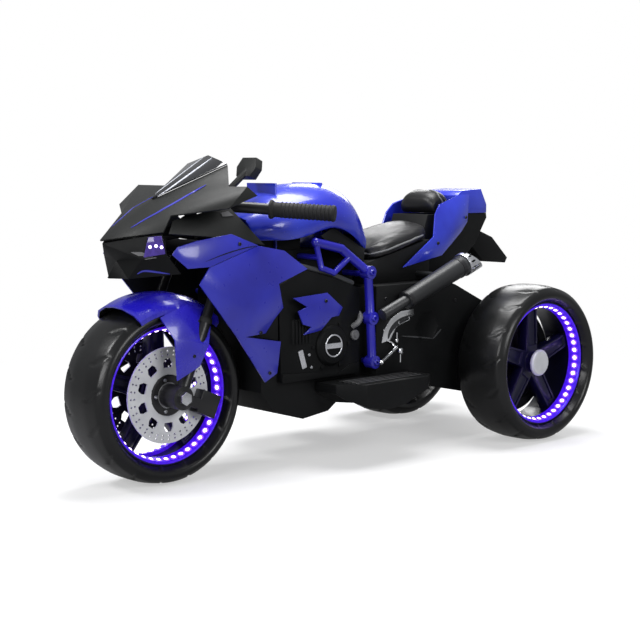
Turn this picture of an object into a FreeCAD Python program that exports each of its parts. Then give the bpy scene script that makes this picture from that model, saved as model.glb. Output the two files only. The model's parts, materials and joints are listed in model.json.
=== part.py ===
import FreeCAD, Part
import math
import os
import re
import Sketcher
from FreeCAD import Placement, Rotation, Vector

# Kids' electric sports motorbike on three wheels, in millimetres. +Z is up, the machine drives towards -Y and
# its left side is +X. The origin lies on the ground, midway between the two axles. Bodywork places are shares
# of the wheel base (Y), of the body's half width (X) and of the body height (Z). The body's width and height
# follow from the fork and the wheels; mechanical pieces have sizes of their own.

SIZES = {
    # Whole machine
    "wheel_base": 800,
    "body_gap": 33,
    "body_rise": 180,
    # Shared walls and clearances
    "panel_wall": 3,
    "chassis_wall": 3.5,
    "seat_gap": 0.3,
    "shut_line": 0.8,
    "running_gap": 0.1,
    "cut_overrun": 2,
    "weld_proud": 0.3,
    "post_radius": 5,
    # Tyres
    "tyre_radius": 160,
    "tyre_half_width": 68,
    "tyre_section": 34,
    "tyre_wall_drop": 22,
    "tyre_tread_drop": 5,
    "tyre_rounding": 9,
    # Rims
    "rim_press_gap": 0.05,
    "rim_wall": 6,
    "hub_radius": 26,
    "hub_recess": 3.5,
    "rear_hub_outer": 30,
    "spoke_count": 5,
    "spoke_depth": 26,
    "spoke_root_half": 17,
    "spoke_tip_half": 13,
    "spoke_groove_depth": 5,
    "spoke_rib_width": 4,
    "spoke_sink": 3,
    # Light rings
    "led_recess": 2,
    "led_width": 22,
    "led_lip": 1.6,
    "led_slope_drop": 7,
    # Axles and bushes
    "front_axle_radius": 6,
    "axle_proud": 6,
    "rear_axle_radius": 8,
    "bush_wall": 4,
    "bush_length": 16,
    "nut_across": 12,
    "nut_length": 9,
    # Front brake
    "disc_gap": 34,
    "disc_thickness": 3,
    "disc_window_count": 10,
    "disc_hole_count": 36,
    "disc_hole_radius": 1.9,
    "caliper_gap": 0.8,
    "caliper_bite": 32,
    "caliper_back": 10,
    "caliper_low": -12,
    "caliper_high": 30,
    "caliper_cheek": 6.7,
    "caliper_arm": 12,
    # Fork, yoke and column
    "fork_gap": 10,
    "fork_slider_radius": 11,
    "fork_tube_radius": 9,
    "fork_slider_top": 140,
    "fork_foot_radius": 21,
    "fork_foot_gap": 1,
    "crown_gap": 6,
    "crown_height": 22,
    "crown_depth": 38,
    "crown_end": 14,
    "column_radius": 14,
    "column_proud": 15,
    "head_wall": 6,
    "stay_radius": 6,
    "stay_plate": 16,
    "stay_half": 56,
    "stay_depth": 30,
    # Handlebar, grips and pod
    "bar_radius": 10,
    "clamp_radius": 24,
    "clamp_height": 24,
    "grip_radius": 13.5,
    "grip_length": 118,
    "grip_flange_radius": 17,
    "grip_flange": 4,
    "grip_cap": 4,
    "pod_stem_radius": 6,
    "pod_width": 56,
    "pod_height": 38,
    "pod_depth": 16,
    "pod_tilt": 25,
    # Front fender
    "fender_gap": 18,
    "fender_inset": 1.5,
    "fender_span": 66,
    "fender_turn": 5,
    "fender_drop": 13,
    "fender_skirt": 34,
    # Chassis
    "wheel_well_gap": 12,
    "wheel_side_gap": 16,
    "housing_recess_radius": 33,
    "housing_recess_depth": 1.6,
    # Drive and electrics
    "coupling_radius": 22,
    "coupling_gap": 2,
    "gearbox_radius": 42,
    "gearbox_width": 34,
    "gearbox_reach": 84,
    "motor_radius": 18,
    "motor_gap": 18.5,
    "battery_width": 65,
    "battery_height": 94,
    "controller_length": 44,
    "controller_width": 60,
    "controller_height": 26,
    "hub_cap_radius": 27,
    "hub_cap_depth": 7,
    # Engine covers and trim
    "engine_cover_depth": 11,
    "clutch_radius": 38,
    "clutch_depth": 9,
    "clutch_chamfer": 5,
    "cover_bolt_count": 6,
    "cover_bolt_circle": 45,
    "cover_bolt_radius": 3.6,
    "cover_bolt_height": 3,
    "fin_count": 6,
    "fin_pitch": 8,
    "fin_thickness": 3.5,
    "fin_height": 5,
    "sump_step": 4,
    "trim_ring_radius": 22,
    "trim_ring_width": 3,
    "trim_ring_depth": 2,
    "trim_bar_half": 5,
    # Tubes
    "trellis_radius": 8.5,
    "strut_radius": 5.5,
    "exhaust_pipe_radius": 11,
    "exhaust_neck_radius": 17,
    "exhaust_can_radius": 21,
    "exhaust_tip_radius": 24,
    "exhaust_bore_radius": 19,
    "exhaust_tip_length": 44,
    "exhaust_slot_count": 5,
    "exhaust_slot_width": 4,
    "exhaust_slot_length": 22,
    "exhaust_gap": 4,
    "exhaust_tip_slope": 35,
    "lug_radius": 12.5,
    "lug_proud": 2,
    "lever_radius": 3.5,
    "lever_knob_radius": 5.25,
    "lever_reach": 23,
    "heel_plate": 4,
    # Footboards and pedal
    "footboard_width": 78,
    "footboard_wall": 3.5,
    "footboard_rib": 2,
    "footboard_rib_width": 5,
    "footboard_rib_pitch": 12,
    "footboard_rib_count": 5,
    "pedal_length": 82,
    "pedal_half_width": 22,
    "pedal_plate": 6,
    "pedal_rise": 12,
    "pedal_barrel_radius": 4,
    # Controls
    "button_radius": 9,
    "button_height": 15,
    "button_proud": 5,
    "button_gap": 0.4,
    "rocker_length": 24,
    "rocker_width": 14,
    "rocker_depth": 9,
    "rocker_recess": 6,
    "rocker_gap": 0.8,
    "socket_radius": 2.9,
    "socket_depth": 9,
}

# The steering axis runs from the front axle to the top of the steering head, which is placed by body shares.
HEAD_SHARES = (-0.3355, 0.9253)
HEAD_LOW_SHARE = 0.879
FOOTBOARD_TOP_SHARE = 0.316
TYRE_SHARES = [("tyre_bead_half", 0.6471), ("tyre_tread_half", 0.7353), ("tyre_crown_half", 0.2941)]
DISC_SHARES = [("disc_window_circle", 0.663), ("disc_window_half", 0.1105), ("disc_hole_circle", 0.9186),
               ("disc_hole_step", 0.0814)]
INNER_WIDTH_SHARES = [("housing_half", 0.896), ("tub_half", 0.736), ("spine_half", 0.36),
                      ("seat_base_half", 0.576), ("tail_base_half", 0.40),
                      ("hump_half", 0.432), ("bracket_half", 0.256)]
# Sizes that follow from others.
FOLLOWING = {
    "body_half_width": "crown_half + body_gap",
    "body_height": "2 * tyre_radius + body_rise",
    "track_half": "housing_half + wheel_side_gap + tyre_half_width",
    "head_setback": f"{0.5 + HEAD_SHARES[0]} * wheel_base",
    "head_rise": f"{HEAD_SHARES[1]} * body_height - tyre_radius",
    "rake_angle": "atan(head_setback / head_rise)",
    "head_top": "head_rise / cos(rake_angle)",
    "head_low": f"{HEAD_LOW_SHARE} * head_top",
    "crown_low": "head_low - crown_height - crown_gap",
    "column_top": "head_top + column_proud",
    "tyre_bore_radius": "tyre_radius - tyre_section",
    "tyre_wall_radius": "tyre_radius - tyre_wall_drop",
    "tyre_tread_radius": "tyre_radius - tyre_tread_drop",
    "rim_inner_radius": "tyre_bore_radius - rim_wall",
    "rim_half_width": "tyre_bead_half",
    "front_hub_half": "rim_half_width - hub_recess",
    "front_axle_half": "fork_half + fork_slider_radius + axle_proud",
    "led_outer_edge": "rim_half_width - led_recess",
    "led_inner_edge": "led_outer_edge - led_width",
    "caliper_inner": "front_hub_half - caliper_gap - caliper_cheek",
    "fork_half": "tyre_half_width + fork_gap",
    "crown_half": "fork_half + crown_end",
    "fender_half_width": "tyre_half_width - fender_inset",
    "disc_radius": "rim_inner_radius - disc_gap",
    "caliper_near": "disc_radius - caliper_bite",
    "caliper_far": "disc_radius + caliper_back",
    "footboard_top": f"{FOOTBOARD_TOP_SHARE} * body_height",
    "exhaust_offset": "housing_half + exhaust_can_radius + exhaust_gap",
    "footboard_reach": "housing_half + footboard_width",
    "motor_length": "housing_half - chassis_wall - gearbox_width - motor_gap",
    **{name: f"{share} * tyre_half_width" for name, share in TYRE_SHARES},
    **{name: f"{share} * disc_radius" for name, share in DISC_SHARES},
    **{name: f"{share} * body_half_width" for name, share in INNER_WIDTH_SHARES},
}

doc = FreeCAD.newDocument("kids_electric_motorbike")
sheet = doc.addObject("Spreadsheet::Sheet", "Sizes")
for row, (alias, number) in enumerate(SIZES.items(), 1):
    sheet.set(f"A{row}", alias.replace("_", " "))
    sheet.set(f"B{row}", str(number))
    sheet.setAlias(f"B{row}", alias)
doc.recompute()

LEFT_NORMAL = Vector(1, 0, 0)
nodes = []


def linked(text):
    """Expression text in which size names point at the sheet and following sizes are written out."""
    def written(found):
        name = found.group()
        return f"({linked(FOLLOWING[name])})" if name in FOLLOWING else "Sizes." + name
    return re.sub(r"[a-z]+(?:_[a-z]+)+", written, text)


def size(text):
    """Number that an expression of size names gives now."""
    return float(sheet.evalExpression(linked(text)))


def bind(item, **expressions):
    """Bind properties of a document object to expressions of size names."""
    for name, text in expressions.items():
        item.setExpression(name.replace("__", "."), linked(text))
    return item


def keep(item, label):
    """Name an object as one finished sub-part."""
    item.Label = label
    nodes.append(item)
    return item


def body_point(shares):
    """Place on the bodywork from its three shares."""
    scales = (size("body_half_width"), size("wheel_base"), size("body_height"))
    return Vector(*(share * scale for share, scale in zip(shares, scales)))


def side_outline(shares):
    """Expressions for the points of a side view given as shares of wheel base and body height."""
    return [(f"{along} * wheel_base", f"{up} * body_height") for along, up in shares]


def origin_item(body, role):
    return next(item for item in body.Origin.OriginFeatures if item.Role == role)


def new_sketch(body, name, plane, offset=None):
    sketch = body.newObject("Sketcher::SketchObject", name)
    sketch.AttachmentSupport = [(origin_item(body, plane), "")]
    sketch.MapMode = "FlatFace"
    if offset:
        bind(sketch, AttachmentOffset__Base__z=offset)
    return sketch


def polygon_sketch(body, name, plane, points, offset=None):
    """Closed polygon whose corners are bound to pairs of expressions."""
    sketch = new_sketch(body, name, plane, offset)
    corners = [Vector(size(across), size(along), 0) for across, along in points]
    count = len(corners)
    for index, corner in enumerate(corners):
        sketch.addGeometry(Part.LineSegment(corner, corners[(index + 1) % count]))
    for index in range(count):
        sketch.addConstraint(Sketcher.Constraint("Coincident", index, 2, (index + 1) % count, 1))
    for index, pair in enumerate(points):
        for kind, text in zip(("DistanceX", "DistanceY"), pair):
            number = sketch.addConstraint(Sketcher.Constraint(kind, index, 1, size(text)))
            bind(sketch, **{f"Constraints[{number}]": text})
    return sketch


def circle_sketch(body, name, plane, circles, offset=None):
    """Circles whose centres and radii are bound to triples of expressions."""
    sketch = new_sketch(body, name, plane, offset)
    for index, (across, along, radius) in enumerate(circles):
        centre = Vector(size(across), size(along), 0)
        sketch.addGeometry(Part.Circle(centre, Vector(0, 0, 1), size(radius)))
        places = (("DistanceX", (index, 3), across), ("DistanceY", (index, 3), along),
                  ("Radius", (index,), radius))
        for kind, target, text in places:
            number = sketch.addConstraint(Sketcher.Constraint(kind, *target, size(text)))
            bind(sketch, **{f"Constraints[{number}]": text})
    return sketch


def revolve(body, name, sketch):
    """Full turn of a sketch about the body's X axis."""
    feature = body.newObject("PartDesign::Revolution", name)
    feature.Profile = sketch
    feature.ReferenceAxis = (sketch, ["H_Axis"])
    feature.Angle = 360
    return feature


def pad(body, name, sketch, length, side="One side"):
    feature = body.newObject("PartDesign::Pad", name)
    feature.Profile = sketch
    feature.SideType = side
    return bind(feature, Length=length)


def pocket(body, name, sketch, length, side="One side", reverse=False):
    feature = body.newObject("PartDesign::Pocket", name)
    feature.Profile = sketch
    feature.Type = "Length"
    feature.SideType = side
    feature.Reversed = reverse
    return bind(feature, Length=length)


def polar_pattern(body, name, originals, count):
    """Repeat features evenly about the body's X axis."""
    feature = body.newObject("PartDesign::PolarPattern", name)
    feature.Originals = originals
    feature.Axis = (origin_item(body, "X_Axis"), [""])
    feature.Angle = 360
    bind(feature, Occurrences=count)
    body.Tip = feature
    return feature


def new_body(name):
    return doc.addObject("PartDesign::Body", name)


def mirrored(source, name):
    """Right-hand copy of a left-hand piece."""
    copy = doc.addObject("Part::Mirroring", name)
    copy.Source = source
    copy.Normal = LEFT_NORMAL
    return copy


def pair(left, name):
    """One group of a left-hand piece and its mirror image."""
    group = doc.addObject("Part::Compound", name)
    group.Links = [left, mirrored(left, name + "_mirror")]
    return group


def cylinder(name, radius, height, **placing):
    item = doc.addObject("Part::Cylinder", name)
    return bind(item, Radius=radius, Height=height, **placing)


def lie_across(item):
    """Turn a cylinder so that its axis points along +X."""
    item.Placement = Placement(item.Placement.Base, Rotation(Vector(0, 0, 1), LEFT_NORMAL))
    return item


def cross_cylinder(name, radius, low, high, along="0 * wheel_base", up="0 * wheel_base"):
    """Cylinder along X between two expressions."""
    item = lie_across(cylinder(name, radius, f"({high}) - ({low})"))
    return bind(item, Placement__Base__x=low, Placement__Base__y=along, Placement__Base__z=up)


def block(name, low, high):
    """Box between two corners given as triples of expressions."""
    item = doc.addObject("Part::Box", name)
    bind(item, **{side: f"({b}) - ({a})" for side, a, b in zip(("Length", "Width", "Height"), low, high)})
    return bind(item, Placement__Base__x=low[0], Placement__Base__y=low[1], Placement__Base__z=low[2])


def free_block(name, lengths, place):
    """Box of three sizes whose first corner has a placement of its own."""
    item = doc.addObject("Part::Box", name)
    item.Placement = place
    return bind(item, **dict(zip(("Length", "Width", "Height"), lengths)))


def fuse(name, items):
    item = doc.addObject("Part::MultiFuse", name)
    item.Shapes = items
    return item


def cut(name, base, tool):
    item = doc.addObject("Part::Cut", name)
    item.Base = base
    item.Tool = tool
    return item


def at_front_axle(item):
    return bind(item, Placement__Base__y="-wheel_base / 2", Placement__Base__z="tyre_radius")


def leaned(across, height):
    """Side-view expressions of a point beside the steering axis, height up it from the front axle."""
    return (f"({height}) * sin(rake_angle) + ({across}) * cos(rake_angle) - wheel_base / 2",
            f"({height}) * cos(rake_angle) - ({across}) * sin(rake_angle) + tyre_radius")


def at_steering(item, height="0 * wheel_base"):
    """Stand an upright piece on the steering axis and lean it back by the rake."""
    item.Placement = Placement(Vector(), Rotation(LEFT_NORMAL, -size("rake_angle")))
    along, up = leaned("0 * wheel_base", height)
    return bind(item, Placement__Base__y=along, Placement__Base__z=up,
                Placement__Rotation__Angle="-rake_angle")


def rod(name, radius, start, end):
    """Round bar between two points."""
    item = bind(doc.addObject("Part::Cylinder", name), Radius=radius)
    item.Height = start.distanceToPoint(end)
    item.Placement = Placement(start, Rotation(Vector(0, 0, 1), end - start))
    return item


def ball(name, radius, place, along=Vector(0, 0, 1)):
    """Ball with its poles along a direction, so that a bent bar leaves it through its poles."""
    item = bind(doc.addObject("Part::Sphere", name), Radius=radius)
    item.Placement = Placement(place, Rotation(Vector(0, 0, 1), along))
    return item


def bent_bar(name, radius, points):
    """Round bar through several points, with rounded corners, as a list of pieces to fuse."""
    bars = [rod(f"{name}_run_{index}", radius, start, end)
            for index, (start, end) in enumerate(zip(points, points[1:]))]
    bends = []
    for index, (before, here, after) in enumerate(zip(points, points[1:], points[2:])):
        along = (here - before).normalize() + (after - here).normalize()
        bends.append(ball(f"{name}_bend_{index}", f"{radius} + weld_proud", here, along))
    return bars + bends


def set_shape(label, shape):
    item = doc.addObject("Part::Feature", label)
    item.Shape = shape
    return item


def closed_solid(faces):
    shell = Part.Shell(faces)
    solid = Part.Solid(shell)
    if solid.Volume < 0:
        solid.reverse()
    return solid


def triangle(corners):
    return Part.Face(Part.makePolygon([*corners, corners[0]]))


def facet_normal(corners, outward):
    normal = (corners[1] - corners[0]).cross(corners[2] - corners[0])
    normal.normalize()
    return normal if normal.dot(outward) > 0 else -normal


def facet_shell(points, facets, wall, outward, lift=0, square=()):
    """Thin moulding of flat facets: the outer skin, the same skin one wall further in, and the edge between.

    points are named places, facets are triples of names, and outward(corners) says which way a facet faces.
    A lift moves the inner skin that far off the facets and the wall outwards from there. The edge is square
    to the machine's side at the points named in square, so that two panels can meet there.
    """
    normals = {name: Vector() for name in points}
    edges = {}
    for names in facets:
        corners = [points[name] for name in names]
        normal = facet_normal(corners, outward(corners))
        for name in names:
            normals[name] = normals[name] + normal
        for edge in zip(names, names[1:] + names[:1]):
            edges.setdefault(frozenset(edge), []).append(edge)
    for name, normal in normals.items():
        normal.normalize()
        if name in square:
            normals[name] = LEFT_NORMAL
    top = {name: points[name] + normals[name] * (lift + wall if lift else 0) for name in points}
    low = {name: top[name] - normals[name] * wall for name in points}
    faces = []
    for names in facets:
        faces.append(triangle([top[name] for name in names]))
        faces.append(triangle([low[name] for name in names]))
    for uses in edges.values():
        if len(uses) == 1:
            start, end = uses[0]
            faces.append(triangle([top[start], top[end], low[end]]))
            faces.append(triangle([top[start], low[end], low[start]]))
    return closed_solid(faces)


def facing(direction):
    return lambda corners: direction


def both_sides(points, facets):
    """Points and facets of a left half and its mirror image; points on the middle plane are shared."""
    names = {name: name if abs(place.x) < size("seat_gap") else name + "_right" for name,
             place in points.items()}
    all_points = dict(points)
    for name, place in points.items():
        all_points[names[name]] = Vector(-place.x, place.y, place.z) if names[name] != name else place
    return all_points, facets + [tuple(names[name] for name in triple) for triple in facets]


def two_sided(direction):
    """Outward direction for a mirrored skin: the left one, or its mirror image on the right."""
    def outward(corners):
        side = sum(corner.x for corner in corners)
        return Vector(math.copysign(direction.x, side), direction.y, direction.z)
    return outward


def shares_to_points(rows):
    """Named places on the bodywork, from rows of a name and its three shares."""
    return {name: body_point(shares) for name, *shares in rows}


def with_posts(solid, points, facets, feet, direction):
    """Screw posts from feet on a carrier to a facet panel, trimmed at the panel's outer skin."""
    length = size("body_half_width")
    for foot in feet:
        post = Part.makeCylinder(size("post_radius"), length, foot, direction)
        for names in facets:
            skin = triangle([points[name] for name in names])
            post = post.cut(skin.extrude(direction * length * 2))
        near = [piece for piece in post.Solids if piece.distToShape(Part.Vertex(foot))[0] < size("seat_gap")]
        solid = solid.fuse(near[0])
    return solid.removeSplitter()


def side_panel(label, points, facets, seat=None, places=(), square=()):
    """Left-hand facet panel, with posts along X to the side face that carries it."""
    solid = facet_shell(points, facets, size("panel_wall"), facing(LEFT_NORMAL), square=square)
    if seat:
        feet = [Vector(size(seat), along * size("wheel_base"), up * size("body_height")) for along,
                up in places]
        solid = with_posts(solid, points, facets, feet, LEFT_NORMAL)
    return set_shape(label, solid)


def moulded_shell(label, outline, half_width, opening):
    """Side profile padded across the machine and hollowed, open at the faces that opening picks."""
    body = new_body(label)
    base = pad(body, label + "_pad", polygon_sketch(body, label + "_profile", "YZ_Plane", outline),
               f"2 * {half_width}", "Symmetric")
    doc.recompute()
    names = [f"Face{index}" for index, face in enumerate(base.Shape.Faces, 1) if opening(face)]
    hollow = body.newObject("PartDesign::Thickness", label + "_hollow")
    hollow.Base = (base, names)
    hollow.Reversed = True
    hollow.Join = 1
    bind(hollow, Value="chassis_wall")
    body.Tip = hollow
    doc.recompute()
    return body


def faces_down(face):
    return face.normalAt(0, 0).z < -0.9


def faces_up(face):
    return face.normalAt(0, 0).z > 0.99


def faces_deck(face):
    """The long underside of the spine, and not the short one below its neck."""
    return faces_down(face) and face.BoundBox.YMax > 0


# Wheels

def tyre(label, side, axle):
    body = new_body(label)
    right_half = [("tyre_bead_half", "tyre_bore_radius"), ("tyre_half_width", "tyre_wall_radius"),
                  ("tyre_tread_half", "tyre_tread_radius"), ("tyre_crown_half", "tyre_radius")]
    outline = right_half + [(f"-{across}", radius) for across, radius in reversed(right_half)]
    turned = revolve(body, label + "_turn", polygon_sketch(body, label + "_profile", "XY_Plane", outline))
    doc.recompute()
    bore = size("tyre_bore_radius")
    rounded = [f"Edge{index}" for index, edge in enumerate(turned.Shape.Edges, 1)
               if hasattr(edge.Curve, "Radius") and edge.Curve.Radius > bore + size("rim_press_gap")]
    fillet = body.newObject("PartDesign::Fillet", label + "_rounding")
    fillet.Base = (turned, rounded)
    bind(fillet, Radius="tyre_rounding")
    body.Tip = fillet
    place_wheel(body, side, axle)
    return keep(body, label)


def place_wheel(body, side, axle):
    """Stand a wheel piece on its axle; side is -1, 0 or 1 and axle is -1 in front or 1 behind."""
    bind(body, Placement__Base__x=f"{side} * track_half", Placement__Base__y=f"{axle} * wheel_base / 2",
         Placement__Base__z="tyre_radius")


def rim(label, side, axle, hub_inner, hub_outer, bore):
    """Hub, grooved spokes and barrel; a rear hub's inner end is the coupling that its gearbox drives."""
    body = new_body(label)
    turn = side if side else 1
    ends = [f"{-turn} * ({hub_inner})", f"{turn} * ({hub_outer})"]
    radius = "hub_radius" if side == 0 else "coupling_radius"
    hub_outline = [(ends[0], bore), (ends[1], bore), (ends[1], radius), (ends[0], radius)]
    revolve(body, label + "_hub", polygon_sketch(body, label + "_hub_profile", "XY_Plane", hub_outline))
    root = f"{bore} + spoke_sink"
    tip = "rim_inner_radius + spoke_sink"
    spoke_outline = [("-spoke_root_half", root), ("spoke_root_half", root), ("spoke_tip_half", tip),
                     ("-spoke_tip_half", tip)]
    spoke = pad(body, label + "_spoke", polygon_sketch(body, label + "_spoke_outline", "YZ_Plane",
                                                       spoke_outline),
                "spoke_depth", "Symmetric")
    low = "hub_radius + 2 * spoke_rib_width"
    high = "rim_inner_radius - 2 * spoke_rib_width"
    groove_outline = [("spoke_rib_width - spoke_root_half", low), ("spoke_root_half - spoke_rib_width", low),
                      ("spoke_tip_half - spoke_rib_width", high), ("spoke_rib_width - spoke_tip_half", high)]
    grooves = []
    for face in (1, -1):
        name = f"{label}_groove_{'left' if face > 0 else 'right'}"
        sketch = polygon_sketch(body, name + "_outline", "YZ_Plane", groove_outline,
                                f"{face} * spoke_depth / 2")
        grooves.append(pocket(body, name, sketch, "spoke_groove_depth", reverse=face < 0))
    polar_pattern(body, label + "_spokes", [spoke, *grooves], "spoke_count")
    outer = "tyre_bore_radius - rim_press_gap"
    barrel_outline = [("-rim_half_width", "rim_inner_radius"), ("rim_half_width", "rim_inner_radius"),
                      ("rim_half_width", outer), ("-rim_half_width", outer)]
    revolve(body, label + "_barrel", polygon_sketch(body, label + "_barrel_profile", "XY_Plane",
                                                    barrel_outline))
    place_wheel(body, side, axle)
    return keep(body, label)


def led_ring(name, face):
    """Sloping light strip inside one edge of a rim."""
    body = new_body(name)
    seat = "rim_inner_radius - rim_press_gap"
    outline = [(f"{face} * led_inner_edge", seat), (f"{face} * led_outer_edge", seat),
               (f"{face} * led_outer_edge", f"{seat} - led_lip"),
               (f"{face} * led_inner_edge", f"{seat} - led_slope_drop")]
    revolve(body, name + "_turn", polygon_sketch(body, name + "_profile", "XY_Plane", outline))
    return body


# Half-round window, flat towards the hub: shares of the window's half size.
WINDOW_SHARES = [(-0.95, -0.85), (0.95, -0.85), (1.05, 0.05), (0.62, 0.90), (-0.62, 0.90), (-1.05, 0.05)]


def brake_discs():
    """Thin disc with large half-round windows between rows of small holes."""
    body = new_body("disc")
    hub = "front_axle_radius + bush_wall + spoke_sink"
    middle = "0 * disc_radius"
    plate = circle_sketch(body, "disc_outline", "YZ_Plane",
                          [(middle, middle, "disc_radius"), (middle, middle, hub)],
                          "front_hub_half")
    pad(body, "disc_plate", plate, "disc_thickness")
    face = "front_hub_half + disc_thickness + cut_overrun"
    through = "disc_thickness + 2 * cut_overrun"

    def repeat(row, sketch, count):
        first = pocket(body, f"disc_{row}_first", sketch, through)
        doc.recompute()
        polar_pattern(body, f"disc_{row}", [first], count)

    window = [(f"{across} * disc_window_half", f"disc_window_circle + {up} * disc_window_half")
              for across, up in WINDOW_SHARES]
    repeat("windows", polygon_sketch(body, "disc_window_outline", "YZ_Plane", window, face),
           "disc_window_count")
    inner = "disc_window_circle - disc_window_half - 2 * disc_hole_step"
    rows = {"outer_holes": ("disc_hole_circle", "disc_hole_radius", "disc_hole_count"),
            "inner_holes": ("disc_hole_circle - disc_hole_step", "disc_hole_radius", "disc_hole_count"),
            "hub_holes": (inner, "disc_hole_radius * 2", "disc_window_count")}
    for row, (circle, radius, count) in rows.items():
        repeat(row, circle_sketch(body, f"disc_{row}_outline", "YZ_Plane", [(middle, circle, radius)],
                                  face), count)
    return at_front_axle(keep(pair(body, "front_discs"), "front_brake_discs"))


def front_wheel():
    tyre("front_tyre", 0, -1)
    bore = "front_axle_radius + bush_wall"
    rim("front_rim", 0, -1, "front_hub_half", "front_hub_half", bore)
    rings = keep(pair(led_ring("front_ring", 1), "front_rings"), "front_led_rings")
    at_front_axle(rings)
    brake_discs()
    body = new_body("front_bush")
    outline = [("front_hub_half - bush_length", "front_axle_radius + running_gap"),
               ("front_hub_half", "front_axle_radius + running_gap"),
               ("front_hub_half", f"{bore} - rim_press_gap"),
               ("front_hub_half - bush_length", f"{bore} - rim_press_gap")]
    revolve(body, "front_bush_turn", polygon_sketch(body, "front_bush_profile", "XY_Plane", outline))
    at_front_axle(keep(pair(body, "front_bushes"), "front_wheel_bushes"))


def rear_wheel(word, side):
    tyre(f"rear_{word}_tyre", side, 1)
    rim(f"rear_{word}_rim", side, 1, "track_half - housing_half + chassis_wall - seat_gap", "rear_hub_outer",
        "rear_axle_radius + running_gap")
    ring = led_ring(f"rear_{word}_ring", side)
    place_wheel(ring, side, 1)
    keep(ring, f"rear_{word}_led_ring")
    cap = new_body(f"rear_{word}_cap")
    start = f"{side} * (rear_hub_outer + seat_gap)"
    end = f"{side} * (rear_hub_outer + hub_cap_depth)"
    outline = [(start, "0 * hub_cap_radius"), (end, "0 * hub_cap_radius"),
               (end, "hub_cap_radius - hub_cap_depth / 2"),
               (f"{side} * (rear_hub_outer + hub_cap_depth / 2)", "hub_cap_radius"),
               (start, "hub_cap_radius")]
    revolve(cap, f"rear_{word}_cap_turn", polygon_sketch(cap, f"rear_{word}_cap_profile", "XY_Plane",
                                                         outline))
    place_wheel(cap, side, 1)
    keep(cap, f"rear_{word}_hub_cap")


# Steering

def fork():
    axle = cross_cylinder("front_axle_bar", "front_axle_radius", "-front_axle_half", "front_axle_half")
    at_front_axle(keep(axle, "front_axle"))
    foot_inner = "front_hub_half + disc_thickness + fork_foot_gap"
    foot_outer = "fork_half + fork_slider_radius"
    slider = cylinder("fork_slider", "fork_slider_radius", "fork_slider_top", Placement__Base__x="fork_half")
    tube = cylinder("fork_tube", "fork_tube_radius", "crown_low - fork_slider_top",
                    Placement__Base__x="fork_half",
                    Placement__Base__z="fork_slider_top")
    foot = cross_cylinder("fork_foot", "fork_foot_radius", foot_inner, foot_outer)
    bore = cross_cylinder("fork_bore", "front_axle_radius + seat_gap", f"{foot_inner} - cut_overrun",
                          f"{foot_outer} + cut_overrun")
    leg = at_steering(cut("fork_leg", fuse("fork_blank", [slider, tube, foot]), bore))
    keep(pair(leg, "fork_pair"), "fork_legs")
    nut = doc.addObject("Part::Prism", "nut_blank")
    nut.Polygon = 6
    bind(nut, Circumradius="nut_across", Height="nut_length")
    lie_across(nut)
    bind(nut, Placement__Base__x=foot_outer)
    tap = cross_cylinder("nut_bore", "front_axle_radius + rim_press_gap", f"{foot_outer} - cut_overrun",
                         "front_axle_half + seat_gap")
    at_front_axle(keep(pair(cut("axle_nut", nut, tap), "axle_nuts"), "front_axle_nuts"))
    crown = block("crown", ("-crown_half", "-crown_depth / 2", "crown_low"),
                  ("crown_half", "crown_depth / 2", "crown_low + crown_height"))
    column = cylinder("column", "column_radius", "column_top - crown_low - crown_height",
                      Placement__Base__z="crown_low + crown_height")
    keep(at_steering(fuse("yoke", [crown, column])), "fork_yoke")


def brake_calipers():
    """Calipers behind the fork feet, each slotted for its disc and carried by an arm from the foot."""
    inner_gap = "front_hub_half - caliper_gap"
    outer_gap = "front_hub_half + disc_thickness + caliper_gap"
    outer = "fork_half - fork_slider_radius"
    shoe = block("caliper_shoe", ("caliper_inner", "caliper_near", "caliper_low"),
                 (outer, "caliper_far", "caliper_high"))
    arm = block("caliper_arm_bar", (f"{outer} - caliper_arm", "fork_foot_radius + seat_gap",
                                    "-caliper_arm / 2"),
                (outer, "caliper_near", "caliper_arm"))
    slot = block("caliper_slot", (inner_gap, "caliper_near - cut_overrun", "caliper_low - cut_overrun"),
                 (outer_gap, "disc_radius + caliper_gap", "caliper_high + cut_overrun"))
    caliper = at_steering(cut("caliper", fuse("caliper_blank", [shoe, arm]), slot))
    keep(pair(caliper, "caliper_pair"), "brake_calipers")


# Guard corners: shares of the tyre's half width (X) and, from the front axle, of its radius (Y and Z).
GUARD_SHARES = [("crown_front", 1.007, -0.205, 0.8875), ("front", 1.294, -0.100, 0.644),
                ("low", 1.360, -0.095, 0.205),
                ("corner", 1.360, 0.205, 0.331), ("rear", 1.342, 0.335, 0.550),
                ("crown_rear", 1.007, 0.495, 0.9125),
                ("crown", 1.007, 0.140, 1.006)]
GUARD_FACETS = [("crown_front", "front", "crown"), ("crown", "front", "rear"),
                ("crown", "rear", "crown_rear"),
                ("front", "low", "corner"), ("front", "corner", "rear")]
# Arch of the mudguard from the top of its skirt to the crown: shares of the half width and of the drop.
FENDER_ARCH_SHARES = [(1.0, 2.0), (0.82, 1.0), (0.42, 0.2), (0.0, 0.0)]


def fender_arch(radius, half, low):
    """Section of the mudguard from one skirt edge over the crown to the other, as X and height."""
    left = [(half, low)] + [(half * across, radius - size("fender_drop") * drop)
                            for across, drop in FENDER_ARCH_SHARES]
    return [Vector(across, 0, up) for across,
            up in left + [(-across, up) for across, up in reversed(left[:-1])]]


def guard_point(across, along, up):
    radius = size("tyre_radius")
    return Vector(across * size("tyre_half_width"), along * radius - size("wheel_base") / 2,
                  radius + up * radius)


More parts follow.
